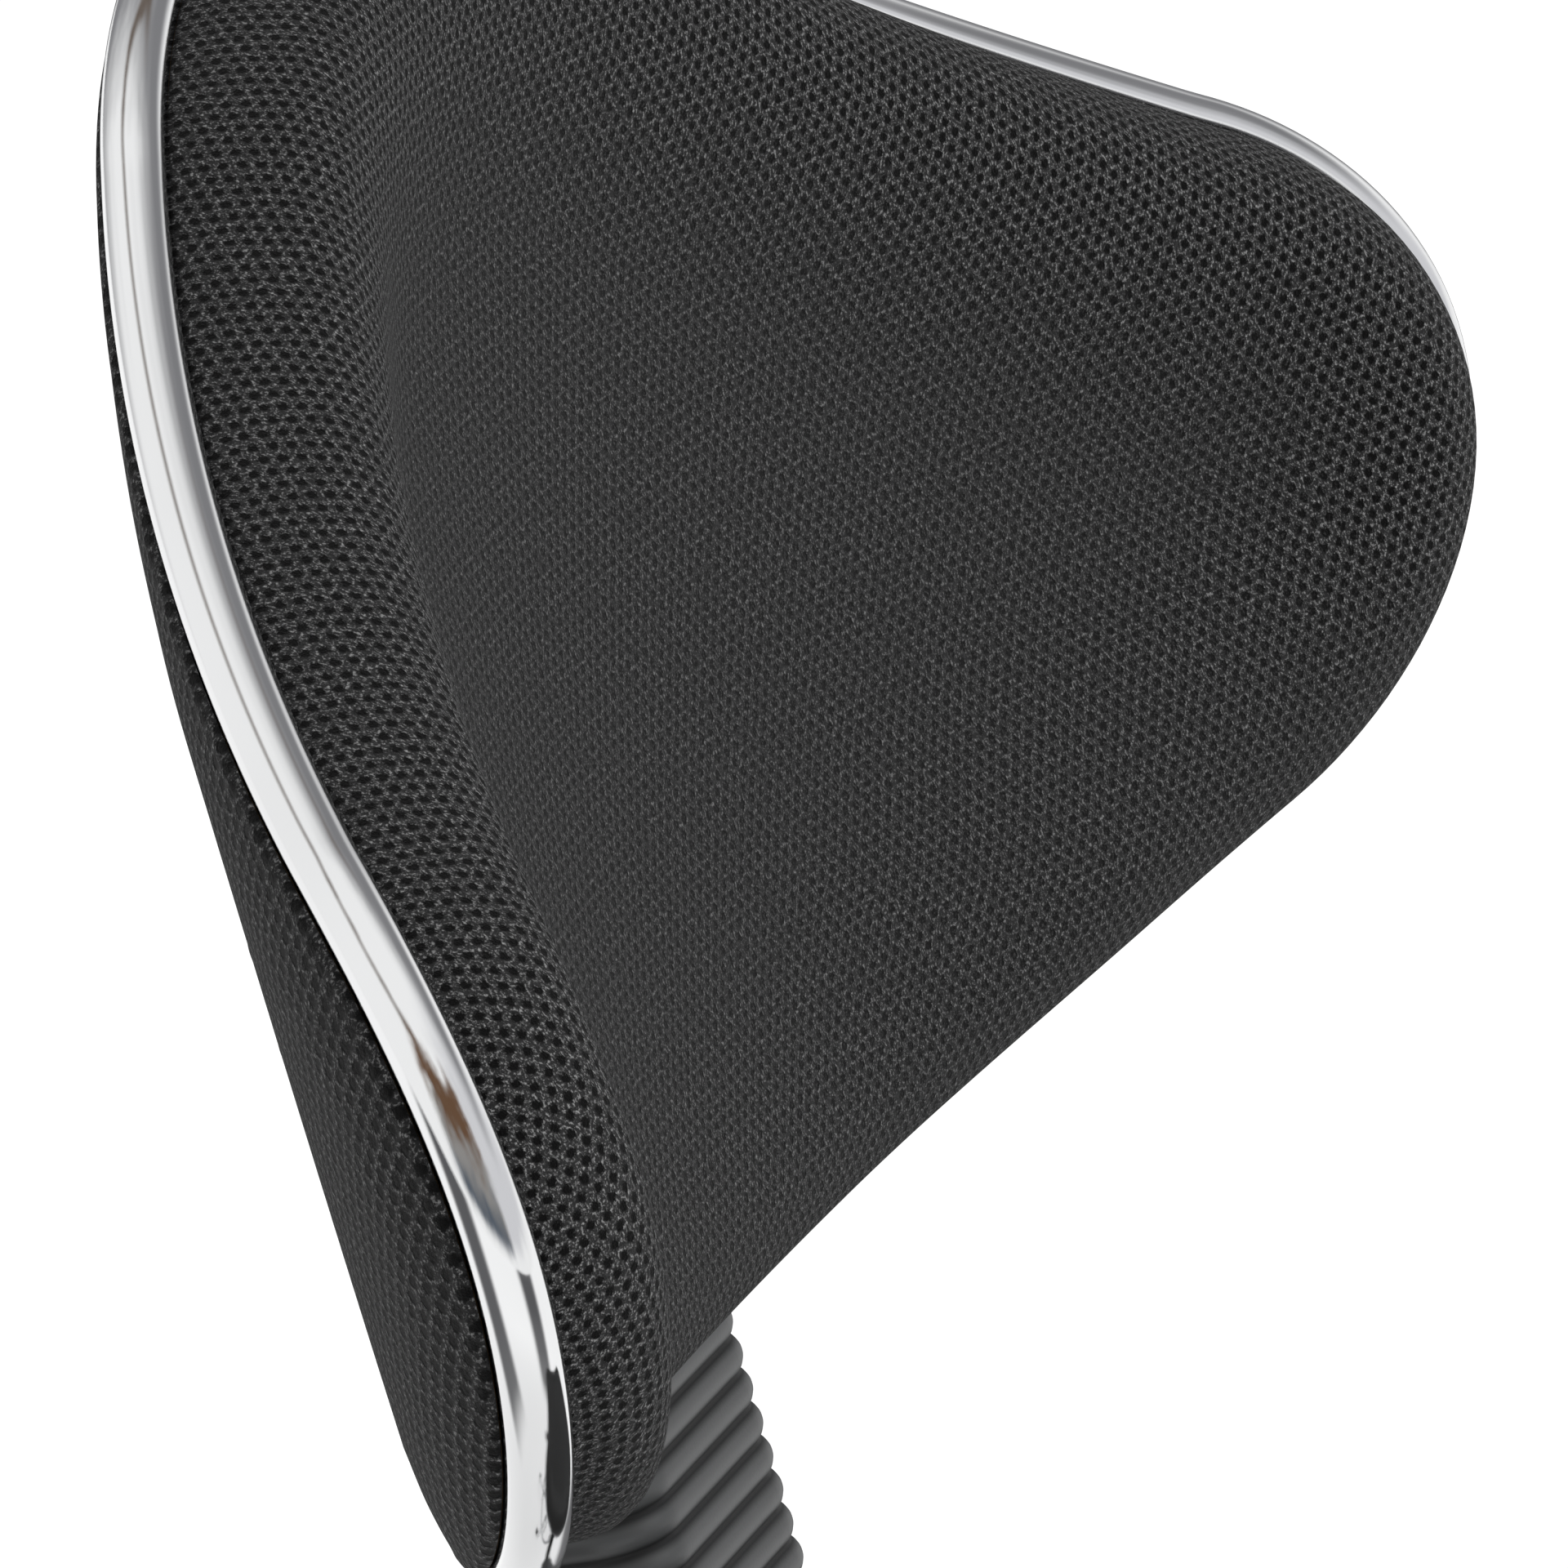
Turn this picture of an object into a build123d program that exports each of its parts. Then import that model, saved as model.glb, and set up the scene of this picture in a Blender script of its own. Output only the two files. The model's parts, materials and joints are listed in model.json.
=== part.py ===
from build123d import *
import math
import os

# Units are millimetres. The floor is z = 0 and the lift column stands on the z axis.
# The sitter faces -Y, the backrest is at +Y, and -X is the sitter's right-hand side.

# Clearances
running_fit = 0.05
press_clearance = 0.02
soft_clearance = 0.3
swivel_gap = 0.3

# Casters
leg_count = 5
caster_circle_radius = 290.0
wheel_radius = 25.0
wheel_width = 17.0
wheel_rim_round = 2.5
web_thickness = 8.0
web_side_gap = 0.5
wheel_top_gap = 1.5
hood_wall = 3.0
caster_trail = 20.0
axle_radius = 4.0
hood_boss_radius = 9.5
hood_top_height = 57.0
stem_radius = 5.5
stem_in_hood = 14.0
stem_in_leg = 22.0
stem_collar_radius = 8.5
stem_collar_height = 3.0
caster_turn = 65.0

# Star base
leg_end_height = 30.0
leg_end_width = 34.0
leg_root_height = 42.0
leg_root_width = 46.0
leg_root_rise = 26.0
leg_wall = 5.0
leg_end_boss_radius = 20.0
hub_radius = 37.0
hub_height = 68.0

# Gas lift
column_radius = 25.0
column_wall = 2.5
column_bottom_z = 74.0
column_height = 366.0
column_floor = 3.0
rod_radius = 5.0
rod_top_z = 422.0
rod_collar_radius = 13.0
rod_collar_height = 4.0
rod_clip_radius = 9.0
rod_clip_height = 2.5
race_height = 2.0
ball_radius = 1.8
ball_count = 10
cylinder_radius = 14.0
cylinder_bore_radius = 11.0
cylinder_top_z = 612.0
cylinder_length = 362.0
cylinder_plug = 32.0
taper_length = 44.0
taper_shrink = 1.0
piston_height = 10.0
rod_guide_height = 18.0
bush_height = 75.0
bush_flange_height = 3.0
release_pin_radius = 3.0
release_pin_length = 22.0
release_pin_rise = 6.0

# Foot ring
foot_ring_z = 260.0
foot_ring_radius = 215.0
foot_ring_tube_radius = 10.0
spoke_count = 4
spoke_radius = 7.0
foot_collar_radius = 38.0
foot_collar_wall = 4.0
foot_collar_height = 30.0
foot_sleeve_height = 50.0
foot_sleeve_lip = 3.0
foot_sleeve_gap = 0.3

# Clamp knobs
knob_radius = 21.0
knob_height = 12.0
knob_lobe_count = 5
knob_lobe_radius = 6.0
knob_neck_radius = 9.0
knob_neck_height = 3.0
screw_radius = 4.0
knob_standoff = 1.5

# Seat mechanism, a hat-shaped pressing under the seat board
mechanism_gauge = 3.0
mechanism_height = 38.0
mechanism_half_width = 75.0
mechanism_flange = 30.0
mechanism_front_y = -85.0
mechanism_rear_y = 115.0
socket_radius = 20.0
socket_length = 46.0
cylinder_in_mechanism = 7.0
lever_slot_width = 14.0
lever_slot_height = 17.0

# Seat height lever
lever_radius = 4.0
lever_nose_x = 8.0
lever_pivot_x = -50.0
lever_pivot_radius = 2.5
lever_pivot_half_length = 14.0
lever_bend_x = -92.0
lever_low_x = -150.0
lever_drop = 17.0
lever_end_x = -262.0
lever_nose_gap = 0.4
grip_length = 58.0
grip_width = 26.0
grip_thickness = 13.0
grip_round = 5.0

# Back bar, one flat steel strip bent upwards behind the seat
bar_width = 40.0
bar_thickness = 8.0
bar_start_y = 47.0
bar_bend_radius = 46.0
bar_top = 55.0
bar_guide_wall = 6.0
bar_guide_strap = 5.0
bar_guide_front_y = 62.0
bar_guide_rear_y = 112.0
bar_side_gap = 0.1

# Backrest: an oval board wrapped round an upright cylinder and leaned back
recline = 17.0
back_centre_y = 314.0
back_rise = 310.0
back_half_width = 235.0
back_drop = 89.5
crown_radius = 154.5
shoulder_slope = 36.4
wing_radius = 73.5
wing_rise = 4.5
wrap_radius = 337.0
trim_width = 12.0
trim_depth = 6.0
back_inset = 7.0
back_board_thickness = 10.0
back_cushion_thickness = 24.0
back_cushion_bevel = 9.0
rear_panel_skin = 4.0
rear_panel_depth = 24.0
rear_panel_bevel = 12.0
spine_radius = 118.0
bar_offset = 12.5

# Back carriage, the guide that slides on the bar inside the backrest
carriage_wall = 4.0
carriage_gap = 0.1
carriage_low = -70.0
carriage_high = 45.0
carriage_ear = 16.0
carriage_ear_thickness = 5.0
carriage_room = 3.0
carriage_neck_gap = 0.4
carriage_lip_height = 5.0
carriage_lip_gap = 2.0
back_travel_down = 30.0
height_knob_z = -12.0

# Bellows sleeve round the upright
bellows_width = 60.0
bellows_depth = 34.0
bellows_offset = 18.0
bellows_round = 11.0
bellows_pitch = 6.3
bellows_rib_count = 33
bellows_rib_depth = 2.0
bellows_wall = 2.0
bellows_collar_height = 12.0

# Seat
seat_half_width = 240.0
seat_front_y = -252.0
seat_rear_y = 178.0
seat_corner_radius = 105.0
seat_board_inset = 11.0
seat_board_thickness = 12.0
seat_trim_depth = 5.0
seat_trim_height = 11.0
seat_cushion_thickness = 57.0
seat_cushion_bevel = 18.0
cover_inset = 5.0
cover_wall = 5.0
cover_sheet = 3.0
cover_rim_height = 9.0
cover_opening_gap = 2.0

# Fasteners
bolt_radius = 4.0
bolt_head_radius = 6.5
bolt_head_height = 5.3
seat_bolt_depth = 9.0
seat_bolt_edge = 15.0
seat_bolt_end = 20.0
back_bolt_radius = 3.0
back_bolt_head_radius = 5.0
back_bolt_head_height = 3.0
back_bolt_depth = 7.0
insert_radius = 6.0
insert_bore_radius = 3.4
insert_x = 170.0
insert_spacing = 100.0
insert_centre_y = -10.0
insert_access_radius = 9.0

# Places worked out from the sizes above
leg_bottom_z = hood_top_height + stem_collar_height + swivel_gap
leg_end_centre_z = leg_bottom_z + leg_end_height / 2
hub_bottom_z = leg_bottom_z + leg_root_rise - (hub_height - leg_root_height) / 2
leg_root_centre_z = leg_bottom_z + leg_root_rise + leg_root_height / 2
column_bore_radius = column_radius - column_wall
column_top_z = column_bottom_z + column_height
bearing_bottom_z = column_bottom_z + column_floor
rod_collar_z = bearing_bottom_z + race_height + 2 * ball_radius + race_height + running_fit
wheel_inner_y = web_thickness / 2 + web_side_gap
wheel_outer_y = wheel_inner_y + wheel_width
cylinder_bottom_z = cylinder_top_z - cylinder_length
socket_bottom_z = cylinder_top_z - socket_length
mechanism_bottom_z = cylinder_top_z - cylinder_in_mechanism
mechanism_top_z = mechanism_bottom_z + mechanism_height
board_bottom_z = mechanism_top_z
board_top_z = board_bottom_z + seat_board_thickness
back_centre_z = board_top_z + back_rise
cushion_bottom_z = board_top_z + soft_clearance
cushion_top_z = cushion_bottom_z + seat_cushion_thickness
seat_half_depth = (seat_rear_y - seat_front_y) / 2
seat_centre_y = (seat_rear_y + seat_front_y) / 2
cover_top_z = board_bottom_z + cover_rim_height
lever_z = cylinder_top_z + release_pin_rise + lever_nose_gap + lever_radius
bar_centre_z = mechanism_bottom_z - bar_side_gap - bar_thickness / 2
bar_guide_bottom_z = mechanism_bottom_z - 2 * bar_side_gap - bar_thickness - bar_guide_strap
depth_knob_y = (bar_guide_front_y + bar_guide_rear_y) / 2
carriage_half_width = bar_width / 2 + carriage_gap + carriage_wall
carriage_rear = bar_offset + bar_thickness / 2 + carriage_gap + carriage_wall
carriage_lip_top = -back_drop - carriage_lip_gap
bellows_top = carriage_lip_top - carriage_lip_height
bellows_length = bellows_rib_count * bellows_pitch
rear_panel_front = trim_width / 2 + soft_clearance
rear_panel_rear = rear_panel_front + rear_panel_depth
back_plane = Plane(
    origin=(0, back_centre_y, back_centre_z),
    x_dir=(1, 0, 0),
    z_dir=(0, math.sin(math.radians(recline)), math.cos(math.radians(recline))),
)


def tube(outer, inner, low, high):
    """A round tube on the z axis."""
    middle = Pos(0, 0, (low + high) / 2)
    return middle * (Cylinder(outer, high - low) - Cylinder(inner, high - low))


def rod(radius, low, high):
    """A round bar on the z axis."""
    return Pos(0, 0, (low + high) / 2) * Cylinder(radius, high - low)


def block(x_low, x_high, y_low, y_high, z_low, z_high):
    """A box between two corners."""
    centre = Pos((x_low + x_high) / 2, (y_low + y_high) / 2, (z_low + z_high) / 2)
    return centre * Box(x_high - x_low, y_high - y_low, z_high - z_low)


def save(node, shape):
    """Write one sub-part."""
    export_step(shape, f"parts/{node}.step")


def leg_angle(index):
    """Direction of one leg, the first one straight back."""
    return 90.0 + index * 360.0 / leg_count


def caster_place(index):
    """Frame of one caster: its stem on the z axis, its axle along y behind the stem."""
    return Rot(0, 0, leg_angle(index)) * Pos(caster_circle_radius, 0, 0) * Rot(0, 0, caster_turn)


def along_y(shape, x, z):
    """Turn a shape made on the z axis so that it lies along y at the given place."""
    return Pos(x, 0, z) * Rot(90, 0, 0) * shape


def caster_hood():
    """Fender, centre web and stem boss of a twin-wheel caster, in one moulding."""
    fender_radius = wheel_radius + wheel_top_gap + hood_wall
    half_width = wheel_outer_y
    fender = along_y(Cylinder(fender_radius, 2 * half_width), caster_trail, wheel_radius)
    boss = rod(hood_boss_radius, wheel_radius, hood_top_height)
    room = Cylinder(wheel_radius + wheel_top_gap, wheel_width + web_side_gap)
    centre_y = web_thickness / 2 + (wheel_width + web_side_gap) / 2
    body = fender + boss
    for side in (-1, 1):
        body -= Pos(0, side * centre_y, 0) * along_y(room, caster_trail, wheel_radius)
    reach = 2 * fender_radius
    hood_edge_z = wheel_radius - axle_radius - hood_wall
    body -= block(-reach, caster_trail + reach, -half_width, half_width, -reach, hood_edge_z)
    body -= along_y(Cylinder(axle_radius + press_clearance, web_thickness), caster_trail, wheel_radius)
    body -= rod(stem_radius + press_clearance, hood_top_height - stem_in_hood, hood_top_height)
    return body


def caster_stem():
    """Steel stem with its collar."""
    low = hood_top_height - stem_in_hood
    high = leg_bottom_z + stem_in_leg
    collar = rod(stem_collar_radius, hood_top_height, hood_top_height + stem_collar_height)
    return rod(stem_radius, low, high) + collar


def caster_axle():
    """Steel axle through the web and both wheels."""
    return along_y(Cylinder(axle_radius, 2 * wheel_outer_y), caster_trail, wheel_radius)


def caster_wheel(side):
    """One of the twin wheels, with rounded rims."""
    wheel = Cylinder(wheel_radius, wheel_width)
    wheel = fillet(wheel.edges(), wheel_rim_round)
    wheel -= Cylinder(axle_radius + running_fit, wheel_width)
    centre_y = side * (wheel_inner_y + wheel_width / 2)
    return Pos(0, centre_y, 0) * along_y(wheel, caster_trail, wheel_radius)


def star_base():
    """Five hollow legs and the hub that holds the column, in one casting."""
    root = Plane(origin=(0, 0, leg_root_centre_z), x_dir=(0, 1, 0), z_dir=(1, 0, 0))
    end = Plane(origin=(caster_circle_radius, 0, leg_end_centre_z), x_dir=(0, 1, 0), z_dir=(1, 0, 0))
    outer = loft([
        root * RectangleRounded(leg_root_width, leg_root_height, leg_wall),
        end * RectangleRounded(leg_end_width, leg_end_height, leg_wall),
    ])
    hollow = loft([
        root * Pos(0, -leg_wall) * Rectangle(leg_root_width - 2 * leg_wall, leg_root_height),
        end * Pos(0, -leg_wall) * Rectangle(leg_end_width - 2 * leg_wall, leg_end_height),
    ])
    reach = caster_circle_radius + leg_end_boss_radius
    hollow_end = caster_circle_radius - leg_end_boss_radius
    hollow &= block(hub_radius, hollow_end, -reach, reach, 0, reach)
    leg = outer - hollow
    leg_top = leg_bottom_z + leg_end_height
    leg += Pos(caster_circle_radius, 0, 0) * rod(leg_end_boss_radius, leg_bottom_z, leg_top)
    socket_top = leg_bottom_z + stem_in_leg + swivel_gap
    leg -= Pos(caster_circle_radius, 0, 0) * rod(stem_radius + running_fit, leg_bottom_z, socket_top)
    base = rod(hub_radius, hub_bottom_z, hub_bottom_z + hub_height)
    for index in range(leg_count):
        base += Rot(0, 0, leg_angle(index)) * leg
    return base - rod(column_radius + press_clearance, 0, reach)


def column_tube():
    """Outer tube of the gas lift, with a floor that carries the thrust bearing."""
    wall = tube(column_radius, column_bore_radius, column_bottom_z, column_top_z)
    floor = tube(column_radius, rod_radius + running_fit, column_bottom_z, bearing_bottom_z)
    return wall + floor


def guide_bush():
    """Plastic bush in the top of the column, round the pressure cylinder."""
    inner = cylinder_radius + running_fit
    sleeve = tube(column_bore_radius - press_clearance, inner, column_top_z - bush_height, column_top_z)
    return sleeve + tube(column_radius, inner, column_top_z, column_top_z + bush_flange_height)


def thrust_bearing():
    """Two races with a ring of balls between them."""
    inner = rod_radius + 2 * running_fit
    lower_top = bearing_bottom_z + race_height
    upper_low = lower_top + 2 * ball_radius
    pieces = [tube(rod_collar_radius, inner, bearing_bottom_z, lower_top)]
    pieces.append(tube(rod_collar_radius, inner, upper_low, upper_low + race_height))
    circle = (rod_collar_radius + inner) / 2
    for index in range(ball_count):
        turn = Rot(0, 0, index * 360.0 / ball_count)
        pieces.append(turn * Pos(circle, 0, lower_top + ball_radius) * Sphere(ball_radius))
    return Compound(children=pieces)


def piston_rod():
    """Rod that stands on the bearing and carries the piston."""
    low = column_bottom_z - rod_clip_height - running_fit
    collar = rod(rod_collar_radius, rod_collar_z, rod_collar_z + rod_collar_height)
    return rod(rod_radius, low, rod_top_z) + collar


def rod_clip():
    """Ring that keeps the rod in the column's floor."""
    high = column_bottom_z - running_fit
    return tube(rod_clip_radius, rod_radius + press_clearance, high - rod_clip_height, high)


def piston_head():
    """Piston on the top of the rod, running in the cylinder's bore."""
    outer = cylinder_bore_radius - running_fit
    return tube(outer, rod_radius + press_clearance, rod_top_z - piston_height, rod_top_z)


def pressure_cylinder():
    """Gas cylinder with a slightly tapered top and a bore for the release pin."""
    taper_low = cylinder_top_z - taper_length
    body = rod(cylinder_radius, cylinder_bottom_z, taper_low)
    taper = Pos(0, 0, taper_low + taper_length / 2) * Cone(
        cylinder_radius, cylinder_radius - taper_shrink, taper_length)
    body += taper
    body -= rod(cylinder_bore_radius, cylinder_bottom_z, cylinder_top_z - cylinder_plug)
    return body - rod(release_pin_radius + running_fit, cylinder_top_z - cylinder_plug, cylinder_top_z)


def rod_guide():
    """Seal and guide ring that closes the cylinder round the rod."""
    outer = cylinder_bore_radius - press_clearance
    return tube(outer, rod_radius + running_fit, cylinder_bottom_z, cylinder_bottom_z + rod_guide_height)


def release_pin():
    """Valve pin that the lever presses down."""
    high = cylinder_top_z + release_pin_rise
    return rod(release_pin_radius, high - release_pin_length, high)


def foot_ring():
    """Ring, spokes and collar, welded together."""
    seam_turn = Rot(0, 0, 90.0 / spoke_count)
    ring = Pos(0, 0, foot_ring_z) * seam_turn * Torus(foot_ring_radius, foot_ring_tube_radius)
    inner = foot_collar_radius - foot_collar_wall
    low = foot_ring_z - foot_collar_height / 2
    collar = tube(foot_collar_radius, inner, low, low + foot_collar_height)
    start = foot_collar_radius - foot_collar_wall / 2
    spoke = Pos((start + foot_ring_radius) / 2, 0, foot_ring_z) * Rot(0, 90, 0) * Cylinder(
        spoke_radius, foot_ring_radius - start)
    shape = ring + collar
    for index in range(spoke_count):
        shape += Rot(0, 0, index * 360.0 / spoke_count) * spoke
    return shape - foot_screw_hole()


def foot_knob_place():
    """Frame of the foot ring's knob: its screw axis is z, pointing outwards between two spokes."""
    turn = Rot(0, 0, 180.0 / spoke_count)
    return Pos(0, 0, foot_ring_z) * turn * Rot(0, 90, 0)


def foot_screw_hole():
    """Bore for the clamp screw through collar and sleeve."""
    return foot_knob_place() * rod(screw_radius + running_fit, 0, foot_collar_radius + foot_collar_wall)


def foot_ring_sleeve():
    """Plastic sleeve between the foot ring's collar and the column."""
    inner = column_radius + foot_sleeve_gap
    outer = foot_collar_radius - foot_collar_wall - press_clearance
    low = foot_ring_z - foot_sleeve_height / 2
    sleeve = tube(outer, inner, low, low + foot_sleeve_height)
    lip_top = foot_ring_z - foot_collar_height / 2
    lip = tube(foot_collar_radius, inner, lip_top - foot_sleeve_lip, lip_top)
    return sleeve + lip - foot_screw_hole()


def clamp_knob(screw_end, face):
    """Lobed knob with its screw, on the z axis; the screw ends at screw_end, the seat is at face."""
    low = face + knob_standoff
    neck = rod(knob_neck_radius, low, low + knob_neck_height)
    head_low = low + knob_neck_height
    head = rod(knob_radius - knob_lobe_radius, head_low, head_low + knob_height)
    for index in range(knob_lobe_count):
        turn = Rot(0, 0, index * 360.0 / knob_lobe_count)
        head += turn * Pos(knob_radius - knob_lobe_radius, 0, 0) * rod(
            knob_lobe_radius, head_low, head_low + knob_height)
    return rod(screw_radius, screw_end, low) + neck + head


def foot_ring_knob():
    """Knob that clamps the foot ring to the column."""
    return foot_knob_place() * clamp_knob(column_radius + foot_sleeve_gap, foot_collar_radius)


def seat_mechanism():
    """Hat-shaped pressing with the taper socket and a slot for the lever."""
    half = mechanism_half_width
    gauge = mechanism_gauge
    front = mechanism_front_y
    rear = mechanism_rear_y
    bottom = mechanism_bottom_z
    top = mechanism_top_z
    shape = block(-half, half, front, rear, bottom, bottom + gauge)
    for side in (-1, 1):
        inner, outer = sorted((side * (half - gauge), side * half))
        shape += block(inner, outer, front, rear, bottom, top)
        inner, outer = sorted((side * (half - gauge), side * (half + mechanism_flange)))
        shape += block(inner, outer, front, rear, top - gauge, top)
    shape += rod(socket_radius, socket_bottom_z, bottom + gauge)
    taper_low = cylinder_top_z - taper_length
    shape -= Pos(0, 0, taper_low + taper_length / 2) * Cone(
        cylinder_radius + press_clearance, cylinder_radius - taper_shrink + press_clearance, taper_length)
    shape -= rod(cylinder_radius + press_clearance, socket_bottom_z, taper_low)
    slot = lever_slot_height / 2
    shape -= block(-half, gauge - half, -lever_slot_width / 2, lever_slot_width / 2, lever_z - slot / 2,
                   lever_z + slot)
    for x, y in seat_bolt_places():
        shape -= Pos(x, y, 0) * rod(bolt_radius + press_clearance, top - gauge, top)
    for side in (-1, 1):
        ear_y = side * (lever_pivot_half_length - gauge / 2)
        shape += block(lever_pivot_x - bolt_head_radius, lever_pivot_x + bolt_head_radius,
                       ear_y - gauge / 2, ear_y + gauge / 2, bottom, lever_z + bolt_head_radius)
    return shape - along_y(Cylinder(lever_pivot_radius + press_clearance, 2 * lever_pivot_half_length),
                           lever_pivot_x, lever_z)


def seat_bolt_places():
    """Centres of the four bolts through the mechanism's flanges."""
    x = mechanism_half_width + seat_bolt_edge
    front = mechanism_front_y + seat_bolt_end
    rear = mechanism_rear_y - seat_bolt_end
    return [(side * x, y) for side in (-1, 1) for y in (front, rear)]


def seat_bolts():
    """Four bolts that hold the mechanism to the seat board."""
    flange_low = mechanism_top_z - mechanism_gauge
    bolt = rod(bolt_radius, flange_low, board_bottom_z + seat_bolt_depth)
    head = Pos(0, 0, flange_low - bolt_head_height) * extrude(
        RegularPolygon(bolt_head_radius, 6), bolt_head_height)
    return Compound(children=[Pos(x, y, 0) * (bolt + head) for x, y in seat_bolt_places()])


def lever_pivot():
    """Pin that the height lever turns on."""
    return along_y(Cylinder(lever_pivot_radius, 2 * lever_pivot_half_length), lever_pivot_x, lever_z)


def height_lever():
    """Bent steel rod from the release pin to the seat's side."""
    path = FilletPolyline(
        (lever_nose_x, 0, lever_z),
        (lever_bend_x, 0, lever_z),
        (lever_low_x, 0, lever_z - lever_drop),
        (lever_end_x, 0, lever_z - lever_drop),
        radius=3 * lever_radius,
    )
    section = Plane(origin=path @ 0, z_dir=path % 0) * Circle(lever_radius)
    shape = sweep(section, path=path)
    boss = along_y(Cylinder(2 * lever_pivot_radius, 2 * lever_radius), lever_pivot_x, lever_z)
    hole = along_y(Cylinder(lever_pivot_radius + running_fit, 4 * lever_radius), lever_pivot_x, lever_z)
    return shape + boss - hole


def lever_grip():
    """Flat plastic paddle on the lever's end."""
    middle_x = lever_end_x + grip_length / 2 - grip_round
    paddle = Pos(middle_x, 0, lever_z - lever_drop) * Box(grip_length, grip_width, grip_thickness)
    paddle = fillet(paddle.edges(), grip_round)
    return paddle - grip_bore()


def grip_bore():
    """Blind hole in the grip for the lever's end."""
    length = grip_length
    bore = Cylinder(lever_radius + press_clearance, length)
    return Pos(lever_end_x + length / 2, 0, lever_z - lever_drop) * Rot(0, 90, 0) * bore


def seat_outline(inset):
    """Rounded-square seat outline, drawn in by the inset."""
    width = 2 * (seat_half_width - inset)
    depth = 2 * (seat_half_depth - inset)
    return Pos(0, seat_centre_y) * RectangleRounded(width, depth, seat_corner_radius - inset)


def seat_slab(inset, low, high):
    """The seat outline given a thickness."""
    return Pos(0, 0, low) * extrude(seat_outline(inset), high - low)


def insert_places():
    """Centres of the armrest inserts, two on each side."""
    half = insert_spacing / 2
    return [(side * insert_x, insert_centre_y + end * half) for side in (-1, 1) for end in (-1, 1)]


def seat_board():
    """Plywood board with bolt holes and holes for the armrest inserts."""
    board = seat_slab(seat_board_inset, board_bottom_z, board_top_z)
    bolt_end_z = board_bottom_z + seat_bolt_depth
    for x, y in seat_bolt_places():
        board -= Pos(x, y, 0) * rod(bolt_radius + press_clearance, board_bottom_z, bolt_end_z)
    for x, y in insert_places():
        board -= Pos(x, y, 0) * rod(insert_radius + press_clearance, board_bottom_z, board_top_z)
    return board


def armrest_inserts():
    """Threaded inserts in the seat board, where armrests can be bolted on."""
    insert = tube(insert_radius, insert_bore_radius, board_bottom_z, board_top_z)
    return Compound(children=[Pos(x, y, 0) * insert for x, y in insert_places()])


def seat_cushion():
    """Foam seat pad under its mesh cover."""
    pad = seat_slab(seat_trim_depth + soft_clearance, cushion_bottom_z, cushion_top_z)
    return chamfer(pad.faces().sort_by(Axis.Z)[-1].edges(), seat_cushion_bevel)


def seat_trim():
    """Bright strip round the seat between pad and under-cover."""
    low = cover_top_z
    high = low + seat_trim_height
    return seat_slab(0, low, high) - seat_slab(seat_trim_depth, low, high)


def seat_under_cover():
    """Plastic tray round the seat board, open in the middle for the mechanism."""
    low = board_bottom_z - cover_sheet
    tray = seat_slab(cover_inset, low, cover_top_z)
    tray -= seat_slab(cover_inset + cover_wall, board_bottom_z, cover_top_z)
    half = mechanism_half_width + mechanism_flange + cover_opening_gap
    tray -= block(-half, half, mechanism_front_y - cover_opening_gap, mechanism_rear_y + cover_opening_gap,
                  low, board_bottom_z)
    for x, y in insert_places():
        tray -= Pos(x, y, 0) * rod(insert_access_radius, low, board_bottom_z)
    return tray


def bar_guide():
    """Channel under the mechanism in which the back bar slides."""
    inner = bar_width / 2 + bar_side_gap
    outer = inner + bar_guide_wall
    front = bar_guide_front_y
    rear = bar_guide_rear_y
    strap_top = bar_guide_bottom_z + bar_guide_strap
    guide = block(-outer, outer, front, rear, bar_guide_bottom_z, mechanism_bottom_z)
    guide -= block(-inner, inner, front, rear, strap_top, mechanism_bottom_z)
    return guide - Pos(0, depth_knob_y, 0) * rod(screw_radius + running_fit, bar_guide_bottom_z, strap_top)


def back_local(x, y, z):
    """A point given in the backrest's own frame."""
    return back_plane.from_local_coords(Vector(x, y, z))


def back_bar():
    """Flat bar: level under the seat, then bent up along the backrest's lean."""
    top = back_local(0, bar_offset, bar_top)
    lean = math.tan(math.radians(recline))
    corner_y = top.Y - (top.Z - bar_centre_z) * lean
    path = FilletPolyline(
        (0, bar_start_y, bar_centre_z),
        (0, corner_y, bar_centre_z),
        (0, top.Y, top.Z),
        radius=bar_bend_radius,
    )
    section = Plane(origin=path @ 0, x_dir=(1, 0, 0), z_dir=path % 0) * Rectangle(bar_width, bar_thickness)
    return sweep(section, path=path)


def depth_knob():
    """Knob under the seat that clamps the back bar in its guide."""
    face = bar_guide_bottom_z
    tip = face + bar_guide_strap
    knob = clamp_knob(-tip, -face)
    return Pos(0, depth_knob_y, 0) * Rot(180, 0, 0) * knob


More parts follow.
